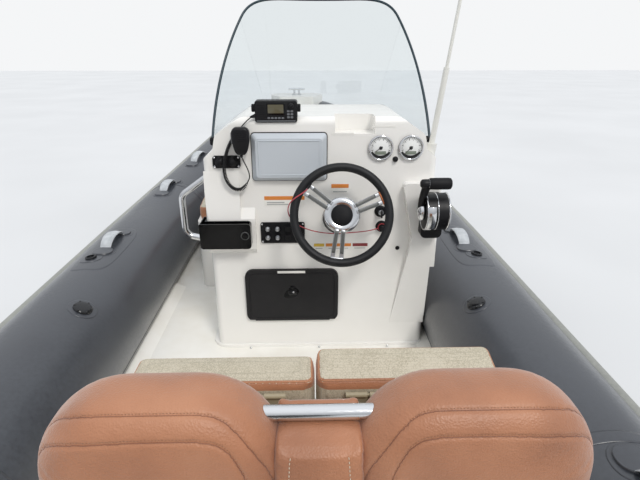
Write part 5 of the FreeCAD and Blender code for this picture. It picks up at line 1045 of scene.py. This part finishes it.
turned("access_plug", [(0.0, 0.0032), (0.0060, 0.0030), (0.0080, 0.0020), (0.0086, 0.0)], (0.456, -0.0004, 0.613),
       (0, -1, 0), BLACK_SOFT, count=28)


# Hatch: raised rim line, pull latch in its recess and a blank strip, all riding on the door

DOOR_X, DOOR_Z = 0.031, 0.408
DOOR_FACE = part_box("hatch_door")[0][1]
ridge = np.array([(-0.0022, 0.0), (-0.0014, 0.0010), (0.0, 0.0014), (0.0014, 0.0010), (0.0022, 0.0), (0.0, -0.0006)])
carried("hatch_rim_line", frame_line(DOOR_X, DOOR_Z, 0.345, 0.203, 0.022, DOOR_FACE, 10, 16), ridge[:, ::-1] * (1, -1),
        (0, -1, 0), HATCH, "door", True)
latch_line = np.array([(-0.058, -0.010), (-0.022, -0.032), (0.040, -0.012), (0.052, 0.010), (0.000, 0.066)])
centre = latch_line.mean(axis=0)
cup = raised("hatch_latch_cup", [centre + (latch_line - centre) * s for s in (0.93, 0.90, 0.30)],
             [0.0015, -0.0055, -0.0070], (DOOR_X - 0.006, DOOR_FACE, DOOR_Z + 0.004), *AFT, BLACK_GLOSS, "door")
cup.modifiers.new("round", "SUBSURF").levels = 2
cup.modifiers["round"].render_levels = 2
lever = raised("hatch_latch_pull", [rounded(0.038, 0.022, 0.010), rounded(0.038, 0.022, 0.010),
                                    rounded(0.032, 0.016, 0.007)], [-0.004, 0.0025, 0.004],
               (DOOR_X + 0.002, DOOR_FACE, DOOR_Z + 0.016), *AFT, BLACK, "door")
crisp(lever, 40)
turned("hatch_latch_lock", [(0.0, 0.0062), (0.0030, 0.0060), (0.0044, 0.0045), (0.0046, 0.0)],
       (DOOR_X + 0.006, DOOR_FACE, DOOR_Z + 0.020), (0, -1, 0), STEEL, "door", 24)
plate("hatch_blank_strip", (DOOR_X - 0.001, DOOR_FACE, DOOR_Z + 0.109), 0.112, 0.010, 0.002, 0.0006, 0.0002,
      PAPER, body="door")
for dx in (-1, 1):
    for dz in (-1, 1):
        turned(f"hatch_frame_screw_{dx + 1}{dz + 1}", [(0.0, 0.0012), (0.0018, 0.0022), (0.0034, 0.0018),
                                                       (0.0040, 0.0)],
               (DOOR_X + dx * 0.178, DOOR_FACE, DOOR_Z + dz * 0.104), (0, -1, 0), BLACK_SOFT, "door", 18)


# Pocket: a grey ring round its knob

POCKET_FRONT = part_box("side_pocket")[0][1] + 0.007
turned("pocket_knob_ring", [(0.0142, 0.0), (0.0160, 0.0012), (0.0160, 0.0034), (0.0142, 0.0042),
                            (0.0125, 0.0030), (0.0125, 0.0)], (-0.140, POCKET_FRONT, 0.6945), (0, -1, 0), SPOKE,
       count=40)


# Steering wheel: foam rim, split spokes with metal ends, steel ring and domed cap, riding on the wheel

TILT = math.radians(20)
WHEEL_CENTRE = np.array([0.219, -0.165, 0.810])
wheel_up = np.array([0.0, math.sin(TILT), math.cos(TILT)])
wheel_out = np.array([0.0, -math.cos(TILT), math.sin(TILT)])


def on_wheel(flat):
    """Points given in the wheel's own plane and height, (x, y, h), set in the boat's frame."""
    flat = np.asarray(flat, float)
    return WHEEL_CENTRE + flat[..., :1] * np.array([1.0, 0, 0]) + flat[..., 1:2] * wheel_up + flat[..., 2:] * wheel_out


turn = np.linspace(0, 2 * np.pi, 240, endpoint=False)
rim_line = on_wheel(np.stack([0.1690 * np.cos(turn), 0.1690 * np.sin(turn), 0 * turn], axis=1))
rim = carried("wheel_foam_rim", rim_line, circle(0.0150, 22), wheel_out, FOAM, "wheel", True)
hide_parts("steering_wheel")
carried("wheel_rim_seam", on_wheel(np.stack([0.1543 * np.cos(turn), 0.1543 * np.sin(turn), 0 * turn], axis=1)),
        circle(0.0009, 6), wheel_out, BLACK_GLOSS, "wheel", True)
for degrees in (143, 23, 263):
    way = math.radians(degrees)
    axis, cross = np.array([math.cos(way), math.sin(way)]), np.array([-math.sin(way), math.cos(way)])
    for side in (-1, 1):
        reach = np.linspace(0.050, 0.1570, 16)
        part = (reach - 0.050) / 0.107
        off = side * (0.0110 + 0.0050 * part)
        high = 0.010 * (1 - part) ** 1.5 - 0.002
        bar = rounded(0.0165, 0.0090, 0.0036, 4)
        line = on_wheel(np.c_[axis * reach[:, None] + cross * off[:, None], high])
        carried(f"wheel_spoke_{degrees}_{side + 1}", line, bar, wheel_out, STEEL_SATIN, "wheel",
                growth=1.0 - 0.12 * part)
        inlay = on_wheel(np.c_[axis * reach[1:-3, None] + cross * off[1:-3, None], high[1:-3] + 0.0034])
        carried(f"wheel_spoke_inlay_{degrees}_{side + 1}", inlay, rounded(0.0122, 0.0032, 0.0012, 3), wheel_out,
                SPOKE, "wheel", growth=1.0 - 0.12 * part[1:-3])
    socket = on_wheel(np.c_[axis * np.linspace(0.150, 0.160, 4)[:, None], np.full(4, -0.001)])
    carried(f"wheel_spoke_socket_{degrees}", socket, rounded(0.050, 0.0125, 0.005, 5), wheel_out,
            COPPER if degrees == 23 else STEEL_SATIN, "wheel")
crisp(turned("wheel_hub_ring", [(0.0400, -0.0130), (0.0600, -0.0130), (0.0640, -0.0080), (0.0640, 0.0050),
                                (0.0600, 0.0100), (0.0520, 0.0118), (0.0430, 0.0126), (0.0390, 0.0100)],
             WHEEL_CENTRE, wheel_out, STEEL, "wheel", 72), 60)
turned("wheel_hub_cap", [(0.0, 0.0230), (0.0100, 0.0226), (0.0200, 0.0212), (0.0300, 0.0182), (0.0360, 0.0145),
                         (0.0382, 0.0100), (0.0382, 0.0)], WHEEL_CENTRE, wheel_out, BLACK_SOFT, "wheel", 64)
turned("wheel_shaft_nut_cover", [(0.0, -0.016), (0.030, -0.016), (0.032, -0.012), (0.0, -0.012)], WHEEL_CENTRE,
       wheel_out, BLACK_SOFT, "wheel", 40)


# Throttle: black housing with chromed rings and hub, black elbow and grip

THROTTLE = np.array([0.545, -0.100, 0.800])
lean = math.radians(18)
tip = THROTTLE + np.array([-0.034, -0.120 * math.sin(lean), 0.120 * math.cos(lean)])
for x, radius, thick in ((0.0590, 0.0670, 0.0036), (0.0180, 0.0676, 0.0018), (-0.0190, 0.0672, 0.0026)):
    carried(f"throttle_ring_{int(x * 1000) + 19}", ring_line(THROTTLE + (x, 0, 0), radius, (0, 1, 0), (0, 0, 1)),
            circle(thick, 10), (1, 0, 0), STEEL, closed=True)
sweep = np.radians(np.linspace(150, 262, 40))
cheek = ((-0.0185, 0.0676), (-0.0175, 0.0692), (-0.0020, 0.0700), (0.0100, 0.0692), (0.0110, 0.0676))
shine = np.stack([THROTTLE + np.stack([x + 0 * sweep, r * np.cos(sweep), r * np.sin(sweep)], axis=1)
                  for x, r in cheek])
put("throttle_chromed_cheek", shine, quads(5, 40), STEEL, closed=False)
hub = turned("throttle_hub", [(0.0, 0.0), (0.0330, 0.0), (0.0345, 0.0030), (0.0335, 0.0120), (0.0280, 0.0190),
                              (0.0190, 0.0228), (0.0, 0.0240)], THROTTLE + (-0.0215, 0, 0), (-1, 0, 0), STEEL,
             "throttle", 64)
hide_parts("throttle_lever")
arm_run = np.linspace(0.0, 1.0, 16)
arm_line = THROTTLE + np.array([-0.034, 0, 0]) + arm_run[:, None] * (tip - THROTTLE - (-0.034, 0, 0))
arm_line[:, 0] += 0.012 * arm_run ** 3
carried("throttle_arm", arm_line, circle(0.0125, 18), (1, 0, 0), BLACK, "throttle", growth=np.linspace(0.85, 1.25, 16))
turned("throttle_elbow", [(0.0, -0.0175), (0.0100, -0.0165), (0.0155, -0.0110), (0.0165, 0.0), (0.0165, 0.0120),
                          (0.0150, 0.0150), (0.0, 0.0150)], tip + (0.002, 0, 0), (1, 0, 0), BLACK, "throttle",
       40)
carried("throttle_collar", ring_line(tip + (0.0155, 0, 0), 0.0160, (0, 1, 0), (0, 0, 1), 48), circle(0.0012, 8),
        (1, 0, 0), STEEL, "throttle", True)
crisp(turned("throttle_grip", [(0.0, 0.0150), (0.0180, 0.0150), (0.0202, 0.0190), (0.0208, 0.0400),
                               (0.0208, 0.0840), (0.0196, 0.0910), (0.0150, 0.0945), (0.0, 0.0960)], tip,
             (1, 0, 0), BLACK_SOFT, "throttle", 48), 40)
plate("throttle_trim_switch", tip + (0.024, -0.0162, 0.0), 0.016, 0.012, 0.004, 0.0024, 0.001, BLACK_SOFT,
      body="throttle")
# Tubes: one skin over a centre line with the radius at each station, (station, angle) like the part's own stations

def tube_table():
    """Stations along the starboard tube: s, centre, outward, up and radius.

    s is y on the straight; then x = 0.815 - 4.8 (1 - cos h), y = 0.7 + 4.8 sin h up to a heading h of 22.5 degrees,
    and a circle of 0.487 m about the nose. Height is 0.290 + 5.58 - sqrt(5.58^2 - (y - 0.7)^2), and the radius falls
    from 225 to 205 mm over the bow."""
    bend = math.radians(22.5)
    turn_x, turn_y = 0.815 - 4.8 * (1 - math.cos(bend)), 0.7 + 4.8 * math.sin(bend)
    nose = turn_x / math.cos(bend)
    nose_y = turn_y + nose * (1 - math.sin(bend))
    stern = np.r_[-2.630, -2.6285, -2.624, -2.616, np.linspace(-2.606, -2.18, 24), np.linspace(-2.15, 0.68, 90)]
    first = np.linspace(0.0, bend, 70)
    second = np.linspace(bend, 0.5 * np.pi, 60)[1:]
    s = np.r_[stern, 0.7 + 4.8 * first, 0.7 + 4.8 * bend + nose * (second - bend)]
    x = np.r_[np.full(len(stern), 0.815), 0.815 - 4.8 * (1 - np.cos(first)), nose * np.cos(second)]
    y = np.r_[stern, 0.7 + 4.8 * np.sin(first), turn_y + nose * (np.sin(second) - math.sin(bend))]
    z = 0.290 + 5.58 - np.sqrt(5.58 ** 2 - np.clip(y - 0.7, 0, None) ** 2)
    heading = np.r_[np.zeros(len(stern)), first, second]
    slope = np.clip(y - 0.7, 0, None) / np.sqrt(5.58 ** 2 - np.clip(y - 0.7, 0, None) ** 2) * np.cos(heading)
    ahead = unit(np.c_[-np.sin(heading), np.cos(heading), slope])
    outward = unit(np.cross(ahead, (0, 0, 1.0)))
    up = np.cross(outward, ahead)
    radius = np.interp(y, (-2.63, -2.6285, -2.624, -2.616, -2.6, -2.18, 0.7, nose_y),
                       (0.080, 0.088, 0.097, 0.106, 0.115, 0.225, 0.225, 0.205))
    return np.c_[s, x, y, z, outward, up, radius]


TUBE = tube_table()


def on_skin(s, angle, lift, side=1):
    """Points on the tube: station, angle in degrees above its outermost line, and height off the skin."""
    s, angle, lift = np.broadcast_arrays(np.asarray(s, float), np.radians(angle), np.asarray(lift, float))
    row = np.stack([np.interp(s, TUBE[:, 0], TUBE[:, k]) for k in range(1, 11)], axis=-1)
    reach = (row[..., 9] + lift)[..., None]
    points = row[..., 0:3] + reach * (np.cos(angle)[..., None] * row[..., 3:6] + np.sin(angle)[..., None]
                                      * row[..., 6:9])
    return points * (side, 1, 1)


round_about = np.linspace(0, 360, 72, endpoint=False)
star = on_skin(TUBE[:, :1], round_about[None], 0.0)
port = star[::-1] * (-1, 1, 1)
whole = np.concatenate([star, port[1:]])
rows, cols = whole.shape[:2]
skin = put("inflated_tube_skin", whole, quads(rows, cols, False, True)
           + [list(range(cols)), list(range((rows - 1) * cols, rows * cols))], SKIN)
crisp(skin, 45)
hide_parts("tube_port", "tube_starboard", "tube_bow")


def skin_layer(name, s, angles, lift, material, side=1):
    """Thin layer laid on the skin over a grid of stations and angles, its rim sunk so that it shows its thickness: the
    glued seam tapes, and the painted shadow strip along the tube's joint with the deck.
    """
    s, angles = np.asarray(s, float), np.asarray(angles, float)
    closed_ring = abs(angles[-1] - angles[0]) > 359
    height = np.full((len(s), len(angles)), lift)
    height[[0, -1]] = -0.0005
    if not closed_ring:
        height[:, [0, -1]] = -0.0005
    if closed_ring:
        angles, height = angles[:-1], height[:, :-1]
    grid = on_skin(s[:, None], angles[None], height, side)
    return put(name, grid, quads(len(s), len(angles), False, closed_ring), material, closed=False)


def band(name, s, width, lift, material, side):
    """Seam tape all the way round the tube at one station."""
    half = width / 2
    return skin_layer(name, [s - half - 0.0002, s - half, *np.linspace(s - half, s + half, 6)[1:-1], s + half,
                       s + half + 0.0002], np.linspace(0, 360, 97), lift, material, side)


for side, word in ((1, "starboard"), (-1, "port")):
    for k, s in enumerate((-2.165, -0.912, 1.30, 2.585)):
        band(f"cross_seam_{word}_{k}", s, 0.036, 0.0013, BLACK_TAPE_AND_SHADE if k in (0, 3) else SKIN, side)
    # Dark strip low on the tube's inboard side, where it meets the deck: painted shadow of the joint, not a real tape.
    skin_layer(f"joint_shadow_strip_{word}", np.linspace(-2.15, 3.1, 200), [196, 196.1, 199, 202, 202, 202.1], 0.0012,
         BLACK_TAPE_AND_SHADE, side)


def patch(name, s, angle, half_long, half_wide, lift, material, side, power=2.0, rings=5):
    """Rounded patch glued on the skin: rings of a superellipse, its rim sunk; half_wide in metres round the tube."""
    turn = np.linspace(0, 2 * np.pi, 64, endpoint=False)
    c, d = np.cos(turn), np.sin(turn)
    shape = (np.abs(c) ** power + np.abs(d) ** power) ** (-1 / power)
    share = np.r_[1.0, 0.985, np.linspace(0.93, 0.02, rings)]
    heights = np.r_[-0.0004, np.full(len(share) - 1, lift)]
    radius = np.interp(s, TUBE[:, 0], TUBE[:, 10])
    grid = on_skin(s + half_long * c * shape * share[:, None],
                   angle + np.degrees(half_wide * d * shape * share[:, None] / radius), heights[:, None], side)
    rows, cols = grid.shape[:2]
    return put(name, grid, quads(rows, cols, False, True) + [list(range((rows - 1) * cols, rows * cols))], material,
               closed=False)



# Rub strake: two-ribbed rubber moulding over the outer shoulder: (degrees up the skin, height off it)
RIBS = ((12.0, 0.0003), (12.3, 0.0080), (14.0, 0.0190), (15.5, 0.0203), (21.0, 0.0203), (22.5, 0.0185), (24.0, 0.0140),
        (28.0, 0.0140), (29.5, 0.0185), (31.0, 0.0203), (36.5, 0.0203), (38.0, 0.0190), (39.7, 0.0080), (40.0, 0.0003))
stations = TUBE[(TUBE[:, 0] >= -2.181), 0]
star = on_skin(stations[:, None], np.array([r[0] for r in RIBS])[None], np.array([r[1] for r in RIBS])[None])
whole = np.concatenate([star, star[::-1][1:] * (-1, 1, 1)])
rows, cols = whole.shape[:2]
strake = put("ribbed_rub_strake", whole, quads(rows, cols, False, True)
             + [list(range(cols)), list(range((rows - 1) * cols, rows * cols))], STRAKE)
crisp(strake, 25)
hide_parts("rub_strake")


# Handles: wide webbing loops whose ends go under doubled patches
STRAP_WIDE, STRAP_THICK, STRAP_RISE = 0.046, 0.0042, 0.036
HANDLE_STATIONS = [-1.800, -1.100, 0.337, 0.7 + 4.8 * math.radians(6.33), 0.7 + 4.8 * math.radians(12.99)]
first_strap = None
for side, word in ((1, "starboard"), (-1, "port")):
    for k, s in enumerate(HANDLE_STATIONS):
        run = np.linspace(-1, 1, 61)
        rise = STRAP_RISE * np.clip((1 - np.abs(run * 0.122 / 0.085) ** 2.6), 0, 1) ** 0.75 + 0.0024
        across = np.array([-1, -0.96, -0.5, 0, 0.5, 0.96, 1.0]) * STRAP_WIDE / 2
        thick = np.array([0.55, 0.95, 1, 1, 1, 0.95, 0.55]) * STRAP_THICK
        sides = []
        for way in (1, 0):
            height = rise[:, None] + (thick[None] if way else 0.0 * thick[None]) + 0.0012 * np.cos(across[None]
                                                                                                   / 0.0073)
            sides.append(on_skin(s + run[:, None] * 0.122, 90 + np.degrees(across[None] / 0.225), height, side))
        loop = np.concatenate([sides[0], sides[1][:, ::-1]], axis=1)
        rows, cols = loop.shape[:2]
        strap = put(f"strap_{word}_{k}", loop, quads(rows, cols, False, True)
                    + [list(range(cols)), list(range((rows - 1) * cols, rows * cols))], STRAP)
        if first_strap is None:
            first_strap = strap
            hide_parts("tube_handles")
        for end in (-1, 1):
            patch(f"strap_patch_{word}_{k}_{end + 1}", s + end * 0.118, 90, 0.040, 0.042, 0.0078, SKIN, side, 2.4)
            patch(f"strap_underlay_{word}_{k}_{end + 1}", s + end * 0.112, 90, 0.058, 0.056, 0.0016, SKIN, side, 2.2)

# Long doubling patch that carries the handle and the valve by the helm; inflation valve and lifting-eye cap
for side, word in ((1, "starboard"), (-1, "port")):
    patch(f"doubling_patch_{word}", 0.275, 88, 0.245, 0.088, 0.0012, SKIN, side, 4.0, 9)
    patch(f"valve_patch_{word}", 0.151, 84, 0.048, 0.048, 0.0028, SKIN, side)
    patch(f"cap_patch_{word}", -0.240, 117.5, 0.052, 0.052, 0.0016, SKIN, side)
    for name, s, angle, profile, material in (("valve", 0.151, 84.0,
                                               ((0.0, 0.0015), (0.0090, 0.0020), (0.0150, 0.0040),
                                                (0.0155, 0.0095), (0.0185, 0.0105), (0.0225, 0.0090),
                                                (0.0240, 0.0050), (0.0240, -0.0040)), VALVE),
                                              ("cap", -0.240, 117.5,
                                               ((0.0, 0.0120), (0.0120, 0.0118), (0.0240, 0.0108),
                                                (0.0300, 0.0088), (0.0330, 0.0050), (0.0340, 0.0),
                                                (0.0340, -0.0060)), CAP_GLOSS)):
        foot, above = on_skin(s, angle, 0.0), on_skin(s, angle, 0.1)
        foot, above = foot * (side, 1, 1), above * (side, 1, 1)
        piece = turned(f"{name}_{word}", profile, foot, above - foot, material, count=48)
        crisp(piece, 40)
        if name == "valve":
            if side == 1:
                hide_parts("tube_valves")
            turned(f"valve_stem_{word}", [(0.0, 0.0085), (0.0035, 0.0080), (0.0050, 0.0060), (0.0052, 0.0010)], foot,
                   above - foot, BLACK_SOFT, count=24)
        else:
            for turn in range(6):
                way = turn * math.pi / 3 + 0.3
                axis = unit(above - foot)
                first = unit(np.cross(axis, (0, 1, 0)))
                second = np.cross(axis, first)
                spot = foot + 0.0295 * (math.cos(way) * first + math.sin(way) * second)
                turned(f"cap_lug_{word}_{turn}", [(0.0, 0.0120), (0.0025, 0.0115), (0.0038, 0.0080),
                                                  (0.0038, 0.0040)], spot, axis, CAP_GLOSS, count=14)
# Pale floor at the waterline, soft sky and one broad lamp

floor = bpy.data.objects.new("floor", bpy.data.meshes.new("floor"))
floor.data.from_pydata([(-30, -30, 0), (30, -30, 0), (30, 30, 0), (-30, 30, 0)], [], [(0, 1, 2, 3)])
scene.collection.objects.link(floor)
material, tree, shader, place = start("pale_studio_floor", "#D8D9DA", 0.9)
link(tree, ramp(tree, cloud(tree, place, 1.6, 2.0), ((0.3, "#D5D6D7"), (0.7, "#DBDCDD"))), shader, "Base Color")
floor.data.materials.append(material)

world = bpy.data.worlds.new("soft_sky")
scene.world = world
world.use_nodes = True
tree = world.node_tree
sky = tree.nodes["Background"]
sky.inputs["Color"].default_value = (0.93, 0.96, 1.0, 1.0)
upward = add(tree, "SeparateXYZ", {0: add(tree, "TexCoord").outputs["Generated"]}).outputs["Z"]
tree.links.new(spread(tree, upward, 0.0, 1.0, 0.48, 1.16), sky.inputs["Strength"])
seen = add(tree, "Background", {"Color": (0.93, 0.94, 0.95, 1.0), "Strength": 0.98})
rays = add(tree, "LightPath")
direct = add(tree, "Math", {0: rays.outputs["Is Camera Ray"], 1: rays.outputs["Is Transmission Ray"]},
             operation="MAXIMUM")
both = add(tree, "MixShader", {"Fac": direct.outputs[0], 1: sky.outputs[0], 2: seen.outputs[0]})
tree.links.new(both.outputs[0], tree.nodes["World Output"].inputs["Surface"])

sun = bpy.data.objects.new("broad_sun", bpy.data.lights.new("broad_sun", "SUN"))
sun.data.energy = 1.4
sun.data.angle = math.radians(14)
sun.data.color = (1.0, 0.97, 0.93)
sun.rotation_euler = (math.radians(38), math.radians(22), 0.0)
scene.collection.objects.link(sun)
